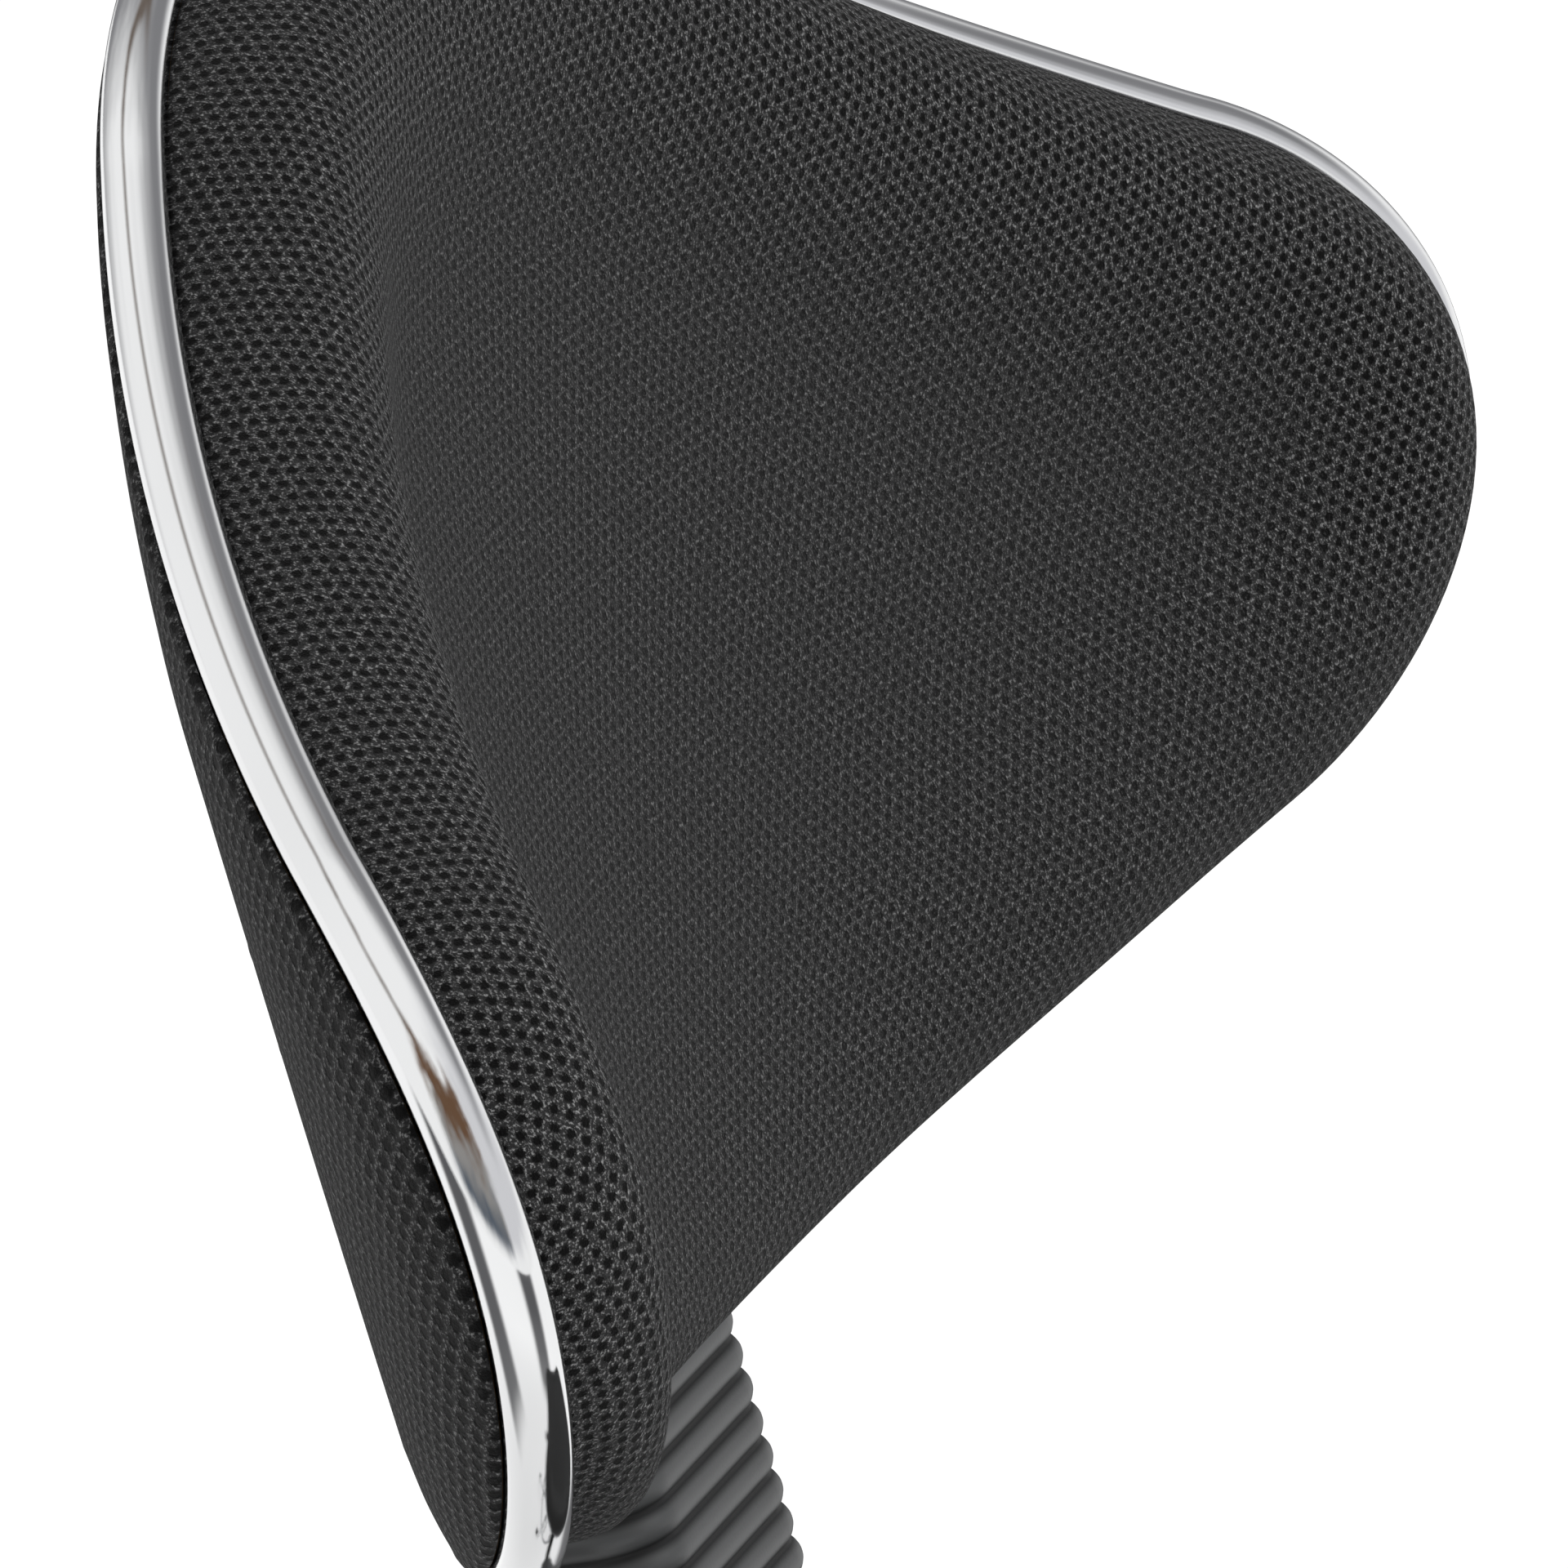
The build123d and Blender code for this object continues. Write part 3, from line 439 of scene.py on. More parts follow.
def powder_coat(name, shade):
    """Black powder coat with its fine orange peel."""
    material, finish = new_finish(name)
    place = finish.place()
    peel = finish.noise(place, 620.0, detail=1.0)
    cloud = finish.noise(place, 30.0)
    finish.surface({
        "Base Color": finish.blend(cloud.ease(0.35, 0.7), shade, lighter(shade, 1.3)),
        "Roughness": cloud * 0.1 + 0.33,
        "Normal": finish.bump(peel, strength=0.22, distance=0.0003, normal=finish.soft_edges(0.0008)),
    })
    return material


def ply(name, shade):
    """Bare plywood with long grain and thin layers."""
    material, finish = new_finish(name)
    layer_height = 0.0024
    place = finish.place()
    grain = finish.noise(finish.stretched(place, (6.0, 90.0, 90.0)), 3.0, detail=4.0, roughness=0.6)
    _, _, up = finish.parts(place)
    layer = ((up / layer_height).fraction() - 0.5).size().ease(0.1, 0.4)
    wood = finish.blend(grain.ease(0.3, 0.7), lighter(shade, 0.7), shade)
    finish.surface({
        "Base Color": finish.blend(layer * 0.25, wood, lighter(shade, 0.5)),
        "Roughness": grain * 0.2 + 0.5,
        "Normal": finish.bump(grain, strength=0.1, distance=0.0004),
    })
    return material


def slot_finishes(finishes):
    """The finish of each material slot."""
    return {
        "mesh_fabric": mesh_cloth(finishes),
        "chrome_trim": bright_metal("chrome_strip", finishes.chrome, smooth=0.05, rough=0.09),
        "bright_tube": bright_metal("chrome_tube", finishes.chrome, smooth=0.03, rough=0.10),
        "base_metal": bright_metal("polished_alloy", finishes.alloy, smooth=0.10, rough=0.24),
        "bare_steel": bright_metal("plated_steel", finishes.steel, smooth=0.22, rough=0.42),
        "bellows_plastic": ribbed_rubber("bellows_rubber", finishes.bellows),
        "black_plastic": moulded("black_moulding", finishes.moulding, 1300.0, roughness=0.46, sheen=0.45),
        "wheel_plastic": moulded("wheel_nylon", finishes.wheel, 900.0, roughness=0.36, sheen=0.5),
        "black_steel": powder_coat("black_powder_coat", finishes.paint),
        "plywood": ply("plywood", finishes.wood),
    }


def slot_finish(slot):
    """One slot's finish, made with all the others the first time."""
    scene = bpy.context.scene
    if "chair_finishes" not in scene:
        made = slot_finishes(scene.chair_finishes_set)
        scene["chair_finishes"] = {name: material.name for name, material in made.items()}
    return bpy.data.materials[scene["chair_finishes"][slot]]


# Lines and meshes

def arc(centre_x, centre_z, radius, start, end, count=60):
    """Points of an arc; angles run clockwise from straight up."""
    angles = np.linspace(start, end, count)
    return np.stack([centre_x + radius * np.sin(angles), centre_z + radius * np.cos(angles)], axis=1)


def eased(values):
    """Values cut to 0 and 1, with soft ends."""
    share = np.clip(values, 0.0, 1.0)
    return share ** 2 * (3.0 - 2.0 * share)


def even_loop(points, count):
    """A closed clockwise line as evenly spaced points, with its outward normals."""
    closed = np.vstack([points, points[:1]])
    steps = np.linalg.norm(np.diff(closed, axis=0), axis=1)
    along = np.concatenate([[0.0], np.cumsum(steps)])
    spots = np.linspace(0.0, along[-1], count, endpoint=False)
    loop = np.stack([np.interp(spots, along, closed[:, axis]) for axis in (0, 1)], axis=1)
    tangents = np.roll(loop, -1, axis=0) - np.roll(loop, 1, axis=0)
    normals = np.stack([-tangents[:, 1], tangents[:, 0]], axis=1)
    return loop, normals / np.linalg.norm(normals, axis=1, keepdims=True)


def smooth_line(points, count):
    """Evenly spaced points on a smooth line through the given ones."""
    points = np.array(points, dtype=float)
    steps = np.linalg.norm(np.diff(points, axis=0), axis=1)
    knots = np.concatenate([[0.0], np.cumsum(steps)])
    slopes = np.gradient(points, knots, axis=0)
    spots = np.linspace(0.0, knots[-1], count)
    before = np.clip(np.searchsorted(knots, spots, side="right") - 1, 0, len(knots) - 2)
    span = (knots[before + 1] - knots[before])[:, None]
    share = (spots - knots[before])[:, None] / span
    rest = 1.0 - share
    start = (1.0 + 2.0 * share) * rest ** 2 * points[before]
    end = (1.0 + 2.0 * rest) * share ** 2 * points[before + 1]
    lift = share * rest ** 2 * span * slopes[before] - rest * share ** 2 * span * slopes[before + 1]
    return start + end + lift


def rounded_box(width, depth, radius, side_points=9, corner_points=13):
    """A rounded rectangle round the middle, clockwise, with the same points at every size."""
    points = []
    half_x = width / 2.0 - radius
    half_y = depth / 2.0 - radius
    corners = [(half_x, half_y), (half_x, -half_y), (-half_x, -half_y), (-half_x, half_y)]
    for index, (x, y) in enumerate(corners):
        start = index * math.pi / 2.0
        bend = arc(x, y, radius, start, start + math.pi / 2.0, corner_points)
        points.append(bend)
        next_x, next_y = corners[(index + 1) % 4]
        end = bend[-1]
        target = end + (np.array([next_x, next_y]) - (x, y))
        shares = np.linspace(0.0, 1.0, side_points + 2)[1:-1]
        points.append(end + shares[:, None] * (target - end))
    return np.vstack(points)


def deselect():
    """Leave nothing selected, so that an operator acts on the new piece only."""
    bpy.ops.object.select_all(action="DESELECT")


def close_mesh():
    """Join the meeting edges of the new piece and turn its faces outwards."""
    bpy.ops.object.mode_set(mode="EDIT")
    bpy.ops.mesh.select_all(action="SELECT")
    bpy.ops.mesh.remove_doubles(threshold=0.000002)
    bpy.ops.mesh.normals_make_consistent(inside=False)
    bpy.ops.object.mode_set(mode="OBJECT")
    bpy.ops.object.shade_smooth()


def laid_grid(name, places, layout=None, map_name=cloth_map, stretch=None):
    """A grid whose rows and columns are laid out at the given places; its columns run all round."""
    rows, columns = places.shape[:2]
    deselect()
    bpy.ops.mesh.primitive_grid_add(x_subdivisions=columns, y_subdivisions=rows - 1, size=2.0, calc_uvs=True)
    piece = bpy.context.object
    piece.name = name
    mesh = piece.data
    mesh.name = name
    start = np.empty(3 * len(mesh.vertices))
    mesh.vertices.foreach_get("co", start)
    start = (start.reshape(-1, 3) + 1.0) / 2.0
    column = np.rint(start[:, 0] * columns).astype(int) % columns
    row = np.rint(start[:, 1] * (rows - 1)).astype(int)
    mesh.vertices.foreach_set("co", places[row, column].ravel())
    if layout is not None:
        corner = np.empty(len(mesh.loops), dtype=int)
        mesh.loops.foreach_get("vertex_index", corner)
        layer = mesh.uv_layers.active
        layer.name = map_name
        layer.data.foreach_set("uv", layout[row, column][corner].ravel())
    if stretch is not None:
        attribute = mesh.attributes.new(stretch_map, "FLOAT", "POINT")
        attribute.data.foreach_set("value", stretch[row, column].ravel())
    close_mesh()
    return piece


def finish_piece(piece, body, slot, node):
    """Give a piece its finish and its body, if any, and hide the node it stands for."""
    piece.data.materials.clear()
    piece.data.materials.append(slot_finish(slot))
    if body is not None:
        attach(piece, body)
    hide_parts(node)


def pad_rows(loop, normals, section, middle_height, flat_rows):
    """Flat places and heights of a pad's rows, from the middle of its front round its edge to its back."""
    middle = loop.mean(axis=0)
    inner = loop - section[0][0] * normals
    flats = []
    heights = []
    for share in np.linspace(0.0, 1.0, flat_rows, endpoint=False):
        flats.append(middle + share * (inner - middle))
        heights.append(middle_height + (section[0][1] - middle_height) * share ** 2)
    for inset, height in section:
        flats.append(loop - inset * normals)
        heights.append(height)
    edge = flats[-1]
    for share in np.linspace(1.0, 0.0, rear_rows + 1)[1:]:
        flats.append(middle + share * (edge - middle))
        heights.append(section[-1][1])
    flats = np.array(flats)
    return flats, np.repeat(np.array(heights)[:, None], flats.shape[1], axis=1)


def edge_distance(flats, loop):
    """How far inside the outline flat points lie."""
    return np.linalg.norm(flats[:, :, None] - loop[None, None, ::2], axis=3).min(axis=2)


def cloth_places(places, flats, normals, flat_rows):
    """Where each point lies on the flat cloth: as on the pad inside its roll, and on over the roll."""
    cloth = flats.copy()
    steps = np.linalg.norm(np.diff(places, axis=0), axis=2)
    for row in range(flat_rows, len(flats)):
        cloth[row] = cloth[row - 1] + steps[row - 1][:, None] * normals
    return cloth


# Backrest

def back_places(back, across, depth, up):
    """Places in the chair of points given in the backrest's own frame."""
    cosine = math.cos(back.lean)
    sine = math.sin(back.lean)
    across, depth, up = np.broadcast_arrays(across, depth, up)
    behind = back.behind + depth * cosine + up * sine
    height = back.height - depth * sine + up * cosine
    return np.stack([across, behind, height], axis=-1)


def wrapped_places(back, unrolled, depth):
    """Places in the chair of points on the unrolled backrest, at a depth behind the strip's middle."""
    angle = unrolled[..., 0] / back.wrap_radius
    radius = back.wrap_radius + depth
    across = radius * np.sin(angle)
    return back_places(back, across, radius * np.cos(angle) - back.wrap_radius, unrolled[..., 1])


def back_outline(back, count):
    """The backrest's edge on the unrolled surface: crown, shoulders, wings and hem."""
    slope = back.shoulder_slope
    wing_x = back.half_width - back.wing_radius
    shoulder = wing_x * math.sin(slope) + back.wing_rise * math.cos(slope) + back.wing_radius
    crown_z = (shoulder - back.crown_radius) / math.cos(slope)
    fall = back.wing_rise + back.drop
    hem_radius = (wing_x ** 2 + fall ** 2 - back.wing_radius ** 2) / (2.0 * (fall - back.wing_radius))
    hem_z = hem_radius - back.drop
    hem_start = math.atan2(wing_x, back.wing_rise - hem_z)
    half = np.vstack([
        arc(0.0, crown_z, back.crown_radius, 0.0, slope),
        arc(wing_x, back.wing_rise, back.wing_radius, slope, hem_start),
        arc(0.0, hem_z, hem_radius, hem_start, math.pi),
    ])
    other = half[::-1] * (-1.0, 1.0)
    outline = np.vstack([half, other[1:-1]])
    outline[:, 0] = back.wrap_radius * np.arcsin(outline[:, 0] / back.wrap_radius)
    return even_loop(outline, count)


def spine_rise(back, flats, loop):
    """How far the round spine lifts the rear panel, smoothly and fading out at the panel's edge."""
    across = back.wrap_radius * np.sin(flats[..., 0] / back.wrap_radius)
    inside = np.clip(back.spine_radius ** 2 - across ** 2, 0.0, None)
    behind = back.spine_depth - back.spine_radius + np.sqrt(inside)
    depth = np.hypot(across, behind + back.wrap_radius) - back.wrap_radius
    blend = 0.0025
    rise = blend * np.log1p(np.exp((depth - back.rear_skin) / blend))
    rim = 0.013
    held = 1.0 - np.exp(-(edge_distance(flats, loop) / rim) ** 2)
    return rise * held * eased((back.spine_top - flats[..., 1]) / back.spine_fade)


def strip_profile(width, depth, edge, spread):
    """Half-round section of a bright strip, as outward and sideways distances, closed."""
    face_points = 27
    corner_points = 9
    half = width / 2.0
    radius = (half - edge * (1.0 - math.sin(spread))) / math.sin(spread)
    face = arc(-radius, 0.0, radius, math.pi / 2.0 - spread, math.pi / 2.0 + spread, face_points)[::-1]
    corner_out = (radius - edge) * math.cos(spread) - radius
    corner = arc(corner_out, half - edge, edge, math.pi / 2.0 - spread, 0.0, corner_points)[1:]
    tip = edge / 6.0
    rear = np.array([[-depth + tip, half], [-depth, half - tip]])
    upper = np.vstack([corner, rear])
    lower = upper[::-1] * (1.0, -1.0)
    return np.vstack([face, upper, lower, face[:1]])


def roll_change(back, loop):
    """How much the pad's rolled edge rises along the outline: more at the crown, less at the hem."""
    crown_start = 0.02
    crown_rise = 0.08
    hem_start = -0.055
    hem_fall = 0.025
    hem_end = 0.15
    hem_fade = 0.10
    across, up = loop.T
    crown = eased((up - crown_start) / crown_rise)
    hem = eased((hem_start - up) / hem_fall) * eased((hem_end - np.abs(across)) / hem_fade)
    return back.roll_crown * crown - back.roll_hem * hem


def roll_bulge(back, loop, heights):
    """How far the pad's rolled edge stands out over the strip below the wings."""
    wing_top = 0.02
    wing_fade = 0.08
    flank = np.clip((heights - back.bulge_foot) / (back.roll_height - back.bulge_foot), 0.0, 1.0)
    return back.hem_bulge * eased((wing_top - loop[:, 1]) / wing_fade) * np.sin(math.pi * flank)


class CHAIR_OT_back_cushion(bpy.types.Operator):
    """Front pad of the backrest, with its rolled edge and hollow centre"""
    bl_idname = "chair.back_cushion"
    bl_label = "Back cushion"

    def execute(self, context):
        back = context.scene.chair_back
        loop, normals = back_outline(back, pad_points)
        roll = back.roll_height
        panel = back.panel_height
        tuck = back.strip_depth
        # Distances in from the outline, and heights
        section = smooth_line([
            (0.027, roll),
            (0.019, roll - 0.0012),
            (0.0125, roll - 0.0055),
            (0.0085, roll - 0.0120),
            (tuck + 0.0003, 0.0100),
            (tuck - 0.0002, 0.0066),
            (tuck - 0.0002, 0.0055),
            (tuck + 0.0022, 0.0046),
        ], count=34)
        flats, heights = pad_rows(loop, normals, section, roll, front_rows)
        inside = edge_distance(flats[:front_rows], loop) - section[0][0]
        share = eased(inside / back.roll_blend)
        bulge = roll_bulge(back, loop, heights[front_rows:])
        flats[front_rows:] += bulge[..., None] * normals
        lift = np.clip((heights - back.roll_foot) / (roll - back.roll_foot), 0.0, 1.0)
        lift *= roll_change(back, loop)
        lift[:front_rows] *= 1.0 - share
        heights[:front_rows] -= (roll - panel) * share
        heights += lift
        places = wrapped_places(back, flats, -heights)
        cloth = cloth_places(places, flats, normals, front_rows + 1)
        hem_start = -0.03
        hem_fall = 0.04
        hem_share = eased((hem_start - loop[:, 1]) / hem_fall)
        stretch = 1.0 - back.hem_slack * hem_share * np.ones(heights.shape)
        stretch[:front_rows] += (1.0 - back.slack - stretch[:front_rows]) * share
        piece = laid_grid("back_cushion_cover", places, cloth, stretch=stretch)
        finish_piece(piece, "backrest", "mesh_fabric", "back_cushion")
        return {"FINISHED"}


class CHAIR_OT_rear_panel(bpy.types.Operator):
    """Bulged rear panel of the backrest, in the same cloth"""
    bl_idname = "chair.rear_panel"
    bl_label = "Rear panel"

    def execute(self, context):
        back = context.scene.chair_back
        loop, normals = back_outline(back, pad_points)
        skin = back.rear_skin
        tuck = back.strip_depth
        # Distances in from the outline, and depths
        section = smooth_line([
            (0.026, skin - 0.0004),
            (0.016, skin - 0.0014),
            (0.0095, skin - 0.0027),
            (tuck + 0.0006, 0.0068),
            (tuck - 0.0002, 0.0056),
            (tuck + 0.0022, 0.0054),
        ], count=24)
        flats, heights = pad_rows(loop, normals, section, skin, front_rows)
        heights[:-rear_rows] += spine_rise(back, flats[:-rear_rows], loop)
        places = wrapped_places(back, flats, heights)
        cloth = cloth_places(places, flats, normals, front_rows + 1) * np.array(back.rear_cloth)
        rim_rows = 10
        stretch = np.full(heights.shape, back.rear_stretch)
        stretch[-rim_rows:] -= back.rim_slack * np.linspace(0.0, 1.0, rim_rows)[:, None]
        piece = laid_grid("rear_panel_cover", places, cloth, stretch=stretch)
        finish_piece(piece, "backrest", "mesh_fabric", "rear_panel")
        return {"FINISHED"}


class CHAIR_OT_back_trim(bpy.types.Operator):
    """Bright half-round strip round the backrest"""
    bl_idname = "chair.back_trim"
    bl_label = "Back strip"

    def execute(self, context):
        back = context.scene.chair_back
        loop, normals = back_outline(back, back_strip_points)
        profile = strip_profile(back.strip_width, back.strip_depth, back.strip_edge, back.strip_turn)
        flats = loop[None] + profile[:, :1, None] * normals[None]
        depths = np.broadcast_to(profile[:, 1:], flats.shape[:2])
        piece = laid_grid("back_strip", wrapped_places(back, flats, depths))
        finish_piece(piece, "backrest", "chrome_trim", "back_trim")
        return {"FINISHED"}


class CHAIR_OT_bellows(bpy.types.Operator):
    """Ribbed sleeve on the upright"""
    bl_idname = "chair.bellows"
    bl_label = "Bellows"

    def execute(self, context):
        back = context.scene.chair_back
        sleeve = context.scene.chair_bellows
        steps = 12
        groove_power = 0.75
        count = sleeve.ribs * steps
        total = sleeve.ribs * sleeve.pitch
        phase = np.arange(count + 1) / steps
        groove = sleeve.rib_depth * (1.0 - np.abs(np.sin(math.pi * phase)) ** groove_power)
        down = phase * sleeve.pitch
        inner = sleeve.rib_depth + sleeve.wall
        shrink = np.concatenate([[inner], groove, [inner, inner]])
        down = np.concatenate([[0.0], down, [total, 0.0]])
        rows = [rounded_box(sleeve.width - 2 * inset, sleeve.depth - 2 * inset, sleeve.corner_radius - inset)
                for inset in shrink]
        rows = np.array(rows)
        up = sleeve.top - down[:, None]
        places = back_places(back, rows[..., 0], rows[..., 1] + sleeve.offset, up)
        round_share = np.arange(rows.shape[1]) / rows.shape[1]
        ribs = np.concatenate([phase[:1], phase, phase[-1:], phase[:1]])
        layout = np.stack(np.broadcast_arrays(round_share[None], ribs[:, None]), axis=-1)
        piece = laid_grid("bellows_sleeve", places, layout, rib_map)
        finish_piece(piece, None, "bellows_plastic", "bellows")
        low = back_places(back, 0.0, sleeve.offset, sleeve.top - total)
        high = back_places(back, 0.0, sleeve.offset, sleeve.top)
        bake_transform(piece)
        return {"FINISHED"}


# Seat

def seat_outline(seat, count):
    """The seat's edge, seen from above."""
    low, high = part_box("seat_trim")
    width = high[0] - low[0]
    depth = high[1] - low[1]
    points = rounded_box(width, depth, seat.corner_radius, side_points=40, corner_points=40)
    points[:, 1] += (low[1] + high[1]) / 2.0
    return even_loop(points, count)


def level_places(flats, heights):
    """Places in the chair of flat points at given heights."""
    return np.concatenate([flats, heights[..., None]], axis=-1)


class CHAIR_OT_seat_cushion(bpy.types.Operator):
    """Seat pad with its rolled edge"""
    bl_idname = "chair.seat_cushion"
    bl_label = "Seat cushion"

    def execute(self, context):
        seat = context.scene.chair_seat
        loop, normals = seat_outline(seat, pad_points)
        low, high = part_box("seat_cushion")
        bottom = low[2]
        top = high[2]
        panel = top - seat.roll_height
        # Distances in from the outline, and heights
        section = smooth_line([
            (0.085, panel),
            (0.068, panel + 0.0010),
            (0.054, panel + 0.0045),
            (0.042, top - 0.0005),
            (0.032, top),
            (0.021, top - 0.0035),
            (0.0115, top - 0.0110),
            (0.0050, top - 0.0220),
            (0.0022, top - 0.0340),
            (0.0032, bottom + 0.0120),
            (0.0052, bottom + 0.0070),
            (0.0056, bottom + 0.0020),
            (0.0080, bottom),
        ], count=56)
        flat_rows = 26
        rising_rows = 16
        flats, heights = pad_rows(loop, normals, section, panel - seat.hollow, flat_rows)
        places = level_places(flats, heights)
        cloth = cloth_places(places, flats, normals, flat_rows + 1)
        stretch = np.ones(heights.shape)
        stretch[:flat_rows] -= seat.slack
        rising = seat.slack * np.linspace(1.0, 0.0, rising_rows)
        stretch[flat_rows:flat_rows + rising_rows] -= rising[:, None]
        piece = laid_grid("seat_cushion_cover", places, cloth, stretch=stretch)
        finish_piece(piece, "seat", "mesh_fabric", "seat_cushion")
        return {"FINISHED"}


class CHAIR_OT_seat_trim(bpy.types.Operator):
    """Bright half-round strip round the seat"""
    bl_idname = "chair.seat_trim"
    bl_label = "Seat strip"

    def execute(self, context):
        seat = context.scene.chair_seat
        loop, normals = seat_outline(seat, seat_strip_points)
        low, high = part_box("seat_trim")
        profile = strip_profile(high[2] - low[2], seat.strip_depth, seat.strip_edge, seat.strip_turn)
        flats = loop[None] + profile[:, :1, None] * normals[None]
        heights = np.broadcast_to(profile[:, 1:] + (low[2] + high[2]) / 2.0, flats.shape[:2])
        piece = laid_grid("seat_strip", level_places(flats, heights))
        finish_piece(piece, "seat", "chrome_trim", "seat_trim")
        return {"FINISHED"}


class CHAIR_OT_carried_nodes(bpy.types.Operator):
    """Finishes of the pieces whose solid shape is kept"""
    bl_idname = "chair.carried_nodes"
    bl_label = "Kept solids"

    def execute(self, context):
        for row in frame["record"]["subparts"]:
            node = frame["nodes"][row["node"]]
            node.data.materials.clear()
            node.data.materials.append(slot_finish(row["material_slot"]))
        return {"FINISHED"}


# Stage

def view_axes(azimuth, elevation):
    """Directions towards the camera, to the image's right and up the image."""
    towards = Vector((
        math.sin(azimuth) * math.cos(elevation),
        -math.cos(azimuth) * math.cos(elevation),
        math.sin(elevation),
    ))
    right = Vector((math.cos(azimuth), math.sin(azimuth), 0.0))
    return towards, right, towards.cross(right)


def aim(thing, target):
    """Turn a lamp or camera towards a point."""
    thing.rotation_euler = (Vector(target) - thing.location).to_track_quat("-Z", "Y").to_euler()


def lamp(name, place, target, width, height, power):
    """A soft rectangular lamp."""
    bpy.ops.object.light_add(type="AREA", location=place)
    piece = bpy.context.object
    piece.name = name
    piece.data.shape = "RECTANGLE"
    piece.data.size = width
    piece.data.size_y = height
    piece.data.energy = power
    piece.visible_glossy = False
    aim(piece, target)


def seen_directly(finish):
    """1 for rays that the camera sees directly, in a mirror or through glass."""
    path = [finish.node("ShaderNodeLightPath", {}, {}, name)
            for name in ("Is Camera Ray", "Is Glossy Ray", "Is Transmission Ray")]
    return path[0].larger(path[1]).larger(path[2])


def floor_finish(stage):
    """Pale floor that keeps a soft shadow; bright metal mirrors three dark cards standing on it."""
    material, finish = new_finish("pale_floor")
    across, behind, _ = finish.parts(finish.place())
    distance = (across * across + behind * behind).root()
    glossy = finish.node("ShaderNodeLightPath", {}, {}, "Is Glossy Ray")
    cards = []
    for side in range(3):
        heading = stage.azimuth + math.radians(60.0 + 120.0 * side)
        facing = (across * math.sin(heading) - behind * math.cos(heading)) / distance
        cards.append(facing.ease(0.91, 0.975))
    card = (cards[0] + cards[1] + cards[2]) * distance.ease(0.7, 1.1) * glossy
    dark_card = (0.08, 0.08, 0.085)
    pale = (0.9, 0.9, 0.9)
    shade = finish.blend(card, white_shade, dark_card)
    matt = finish.node("ShaderNodeBsdfDiffuse", {}, {"Color": opaque(pale)})
    white = finish.node("ShaderNodeEmission", {}, {"Color": shade, "Strength": 1.2})
    share = distance.ease(0.5, 1.8) * 0.26 + 0.60
    shader = finish.node("ShaderNodeMixShader", {}, (seen_directly(finish) * share, matt, white))
    finish.node("ShaderNodeOutputMaterial", {}, {"Surface": shader})
    return material


def room_colour(finish, stage):
    """What bright metal mirrors: white walls, a grey side, a ceiling seam and a dark room by the camera."""
    blue_grey = (0.10, 0.12, 0.15)
    warm_grey = (0.30, 0.29, 0.28)
    brown = (0.15, 0.085, 0.05)
    lilac_grey = (0.52, 0.52, 0.56)
    side_grey = (0.24, 0.24, 0.25)
    seam_brown = (0.16, 0.13, 0.11)
    direction = finish.node("ShaderNodeTexCoord", {}, {}, "Generated")
    across, behind, up = finish.parts(direction)
    level = (across * across + behind * behind).root()
    streaks = finish.stretched(direction, (5.0, 5.0, 1.2))
    drift = finish.noise(streaks, 1.6, detail=3.0, roughness=0.6) - 0.5
    room_x = math.sin(stage.azimuth + stage.room_turn)
    room_y = -math.cos(stage.azimuth + stage.room_turn)
    facing = (across * room_x + behind * room_y) / level + drift * 0.5
    ground = (up + drift * 0.2).ease(-0.04, 0.10)
    room = facing.ease(0.66, 0.80) * ground * (up + drift * 0.25).ease(0.86, 0.76)
    seam = (up + drift * 0.06 - 0.80).size().ease(0.045, 0.012) * behind.ease(-0.2, 0.1)
    shade = finish.blend((up + drift).ease(0.05, 0.35), blue_grey, warm_grey)
    shade = finish.blend((up + drift).ease(0.40, 0.62), shade, brown)
    veil = (behind + drift * 0.5).ease(-0.25, -0.8) * ground * 0.6
    walls = finish.blend(veil, white_shade, lilac_grey)
    side = (across + drift * 0.3).ease(0.15, 0.7) * behind.ease(-0.35, 0.15).larger(up.ease(0.25, 0.5))
    walls = finish.blend(side, walls, side_grey)
    walls = finish.blend(seam, walls, seam_brown)
    return finish.blend(room, walls, shade)


def surround(world, stage):
    """White studio all round, plain for the camera and with a room's details in bright metal."""
    finish = Finish(world.node_tree)
    plain = opaque(white_shade)
    light = finish.node("ShaderNodeBackground", {}, {"Color": plain, "Strength": stage.surround})
    white = finish.node("ShaderNodeBackground", {}, {"Color": plain, "Strength": 1.0})
    mirrored = finish.node("ShaderNodeBackground", {}, {"Color": room_colour(finish, stage), "Strength": 1.0})
    glossy = finish.node("ShaderNodeLightPath", {}, {}, "Is Glossy Ray")
    seen = finish.node("ShaderNodeMixShader", {}, (glossy, white, mirrored))
    shader = finish.node("ShaderNodeMixShader", {}, (seen_directly(finish), light, seen))
    finish.node("ShaderNodeOutputWorld", {}, {"Surface": shader})


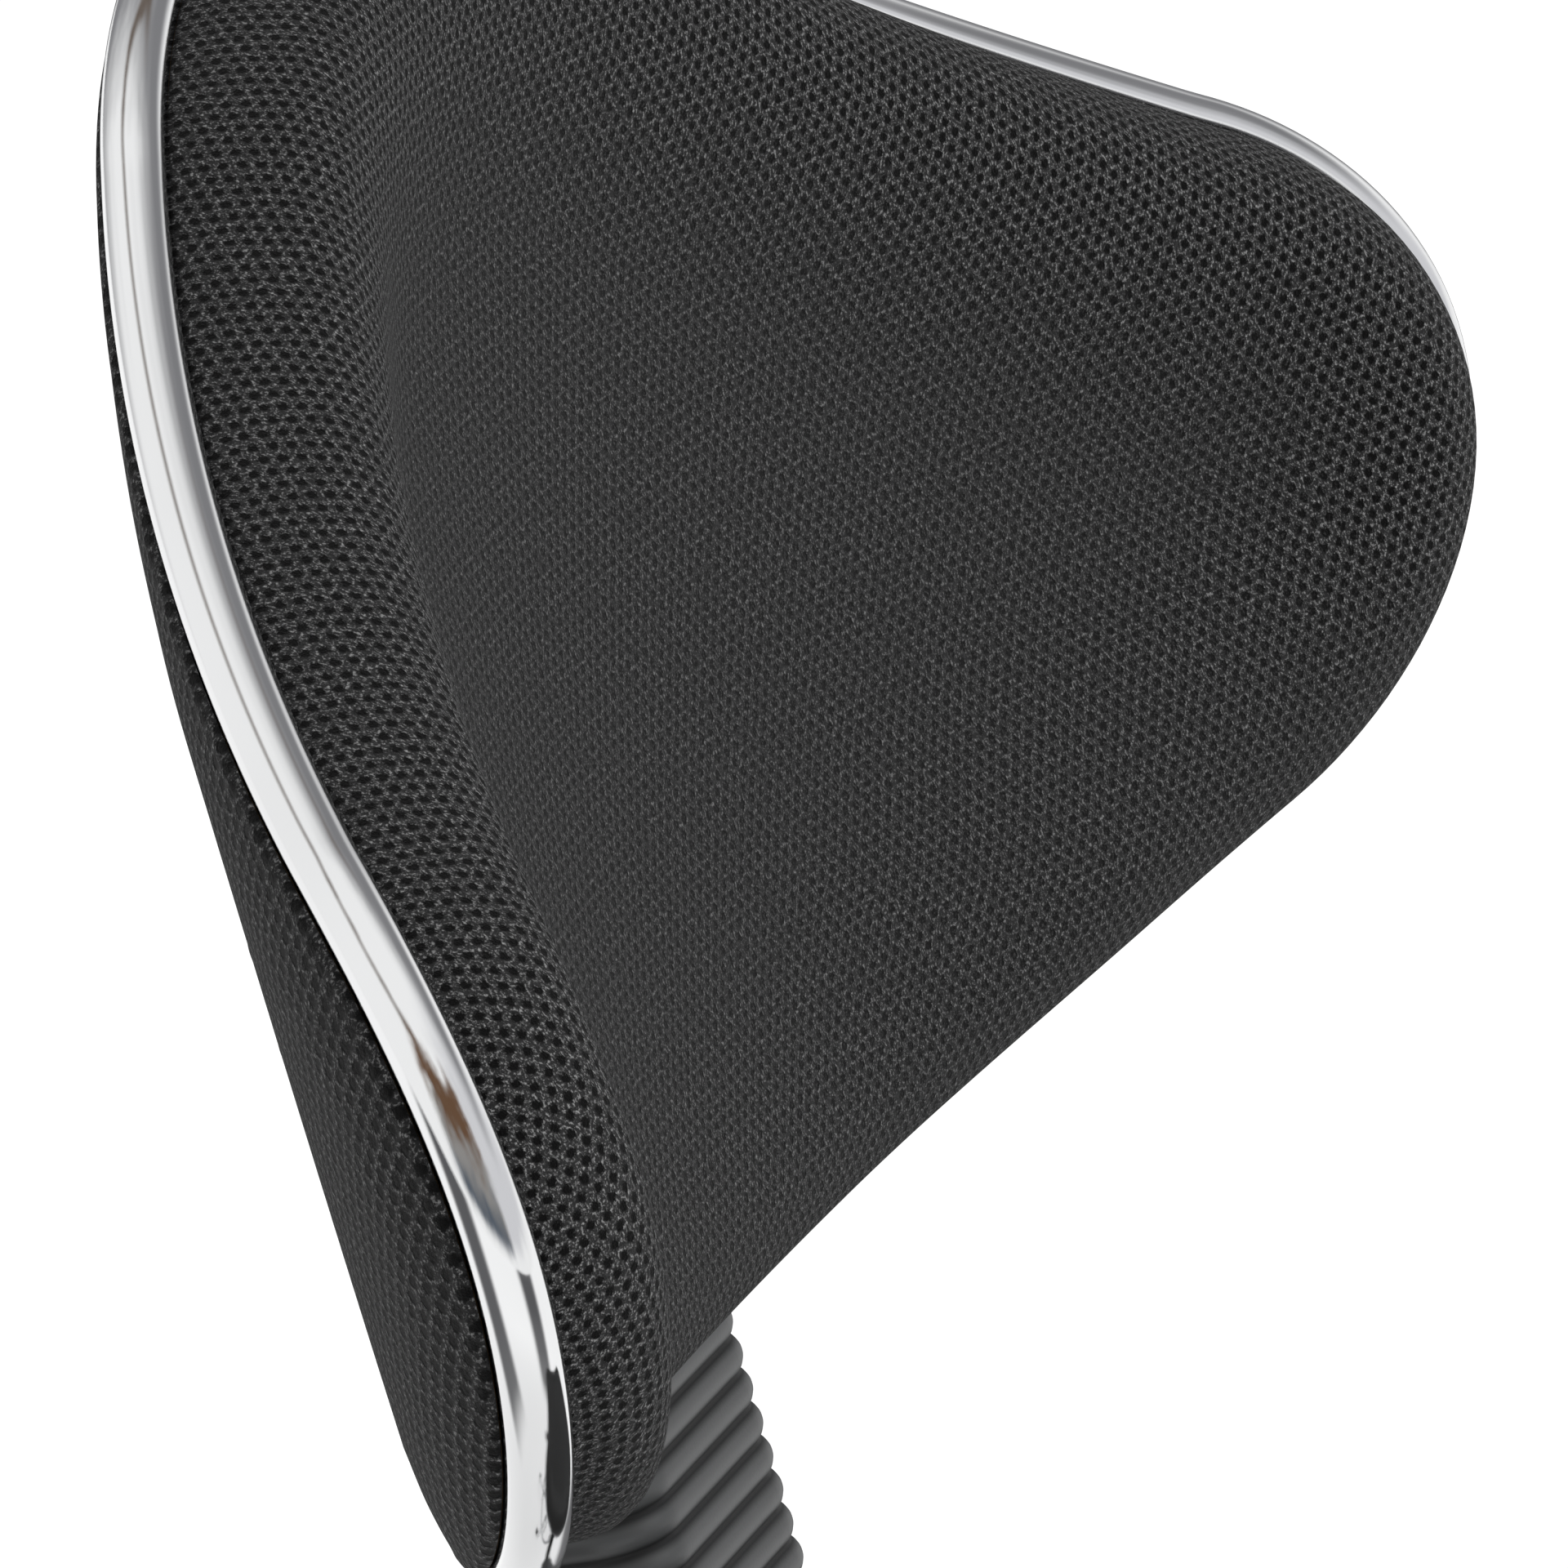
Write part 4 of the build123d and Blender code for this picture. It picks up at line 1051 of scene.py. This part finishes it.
class CHAIR_OT_stage(bpy.types.Operator):
    """Floor, studio light and camera"""
    bl_idname = "chair.stage"
    bl_label = "Stage"

    def execute(self, context):
        scene = context.scene
        stage = scene.chair_stage
        back = scene.chair_back
        scene.view_settings.view_transform = "Standard"
        deselect()
        bpy.ops.mesh.primitive_plane_add(size=floor_side)
        floor = context.object
        floor.name = "floor"
        floor.data.materials.append(floor_finish(stage))
        world = bpy.data.worlds.new("studio")
        world.use_nodes = True
        scene.world = world
        surround(world, stage)
        middle = Vector((0.0, back.behind, back.height))
        towards, right, up = view_axes(stage.azimuth, stage.elevation)
        lamp("key_lamp", (-0.1, -1.9, 2.4), middle, width=1.6, height=1.6, power=stage.key_light)
        lamp("fill_lamp", (-1.9, -0.9, 1.3), middle, width=1.0, height=1.4, power=stage.fill_light)
        lamp("rear_lamp", (0.9, 2.1, 1.7), middle, width=1.4, height=1.4, power=stage.fill_light)
        bpy.ops.object.camera_add(location=middle + towards * stage.distance)
        camera = context.object
        camera.name = "photo_camera"
        camera.data.sensor_width = sensor_width
        camera.data.lens = stage.scale * stage.distance / image_side * sensor_width
        across = (image_side / 2.0 - stage.middle[0]) / stage.scale
        rise = (stage.middle[1] - image_side / 2.0) / stage.scale
        aim(camera, middle + right * across + up * rise)
        scene.camera = camera
        return {"FINISHED"}


class CHAIR_PT_panel(bpy.types.Panel):
    """Lists the chair's pieces"""
    bl_idname = "CHAIR_PT_panel"
    bl_label = "Drafting chair"
    bl_space_type = "VIEW_3D"
    bl_region_type = "UI"
    bl_category = "Chair"

    def draw(self, context):
        for piece in piece_operators:
            self.layout.operator(piece.bl_idname)


setting_groups = {
    "chair_back": BackSizes,
    "chair_seat": SeatSizes,
    "chair_bellows": BellowsSizes,
    "chair_finishes_set": Finishes,
    "chair_stage": StageSettings,
}

piece_operators = [
    CHAIR_OT_carried_nodes,
    CHAIR_OT_back_cushion,
    CHAIR_OT_rear_panel,
    CHAIR_OT_back_trim,
    CHAIR_OT_bellows,
    CHAIR_OT_seat_cushion,
    CHAIR_OT_seat_trim,
    CHAIR_OT_stage,
]


def register():
    """Make the settings, operators and panel known."""
    for name, group in setting_groups.items():
        bpy.utils.register_class(group)
        setattr(bpy.types.Scene, name, PointerProperty(type=group))
    for piece in piece_operators:
        bpy.utils.register_class(piece)
    bpy.utils.register_class(CHAIR_PT_panel)


def unregister():
    """Take them away again."""
    bpy.utils.unregister_class(CHAIR_PT_panel)
    for piece in reversed(piece_operators):
        bpy.utils.unregister_class(piece)
    for name, group in setting_groups.items():
        delattr(bpy.types.Scene, name)
        bpy.utils.unregister_class(group)


def main():
    """Make every piece."""
    register()
    for piece in piece_operators:
        family, name = piece.bl_idname.split(".")
        getattr(getattr(bpy.ops, family), name)()


if __name__ == "__main__":
    main()
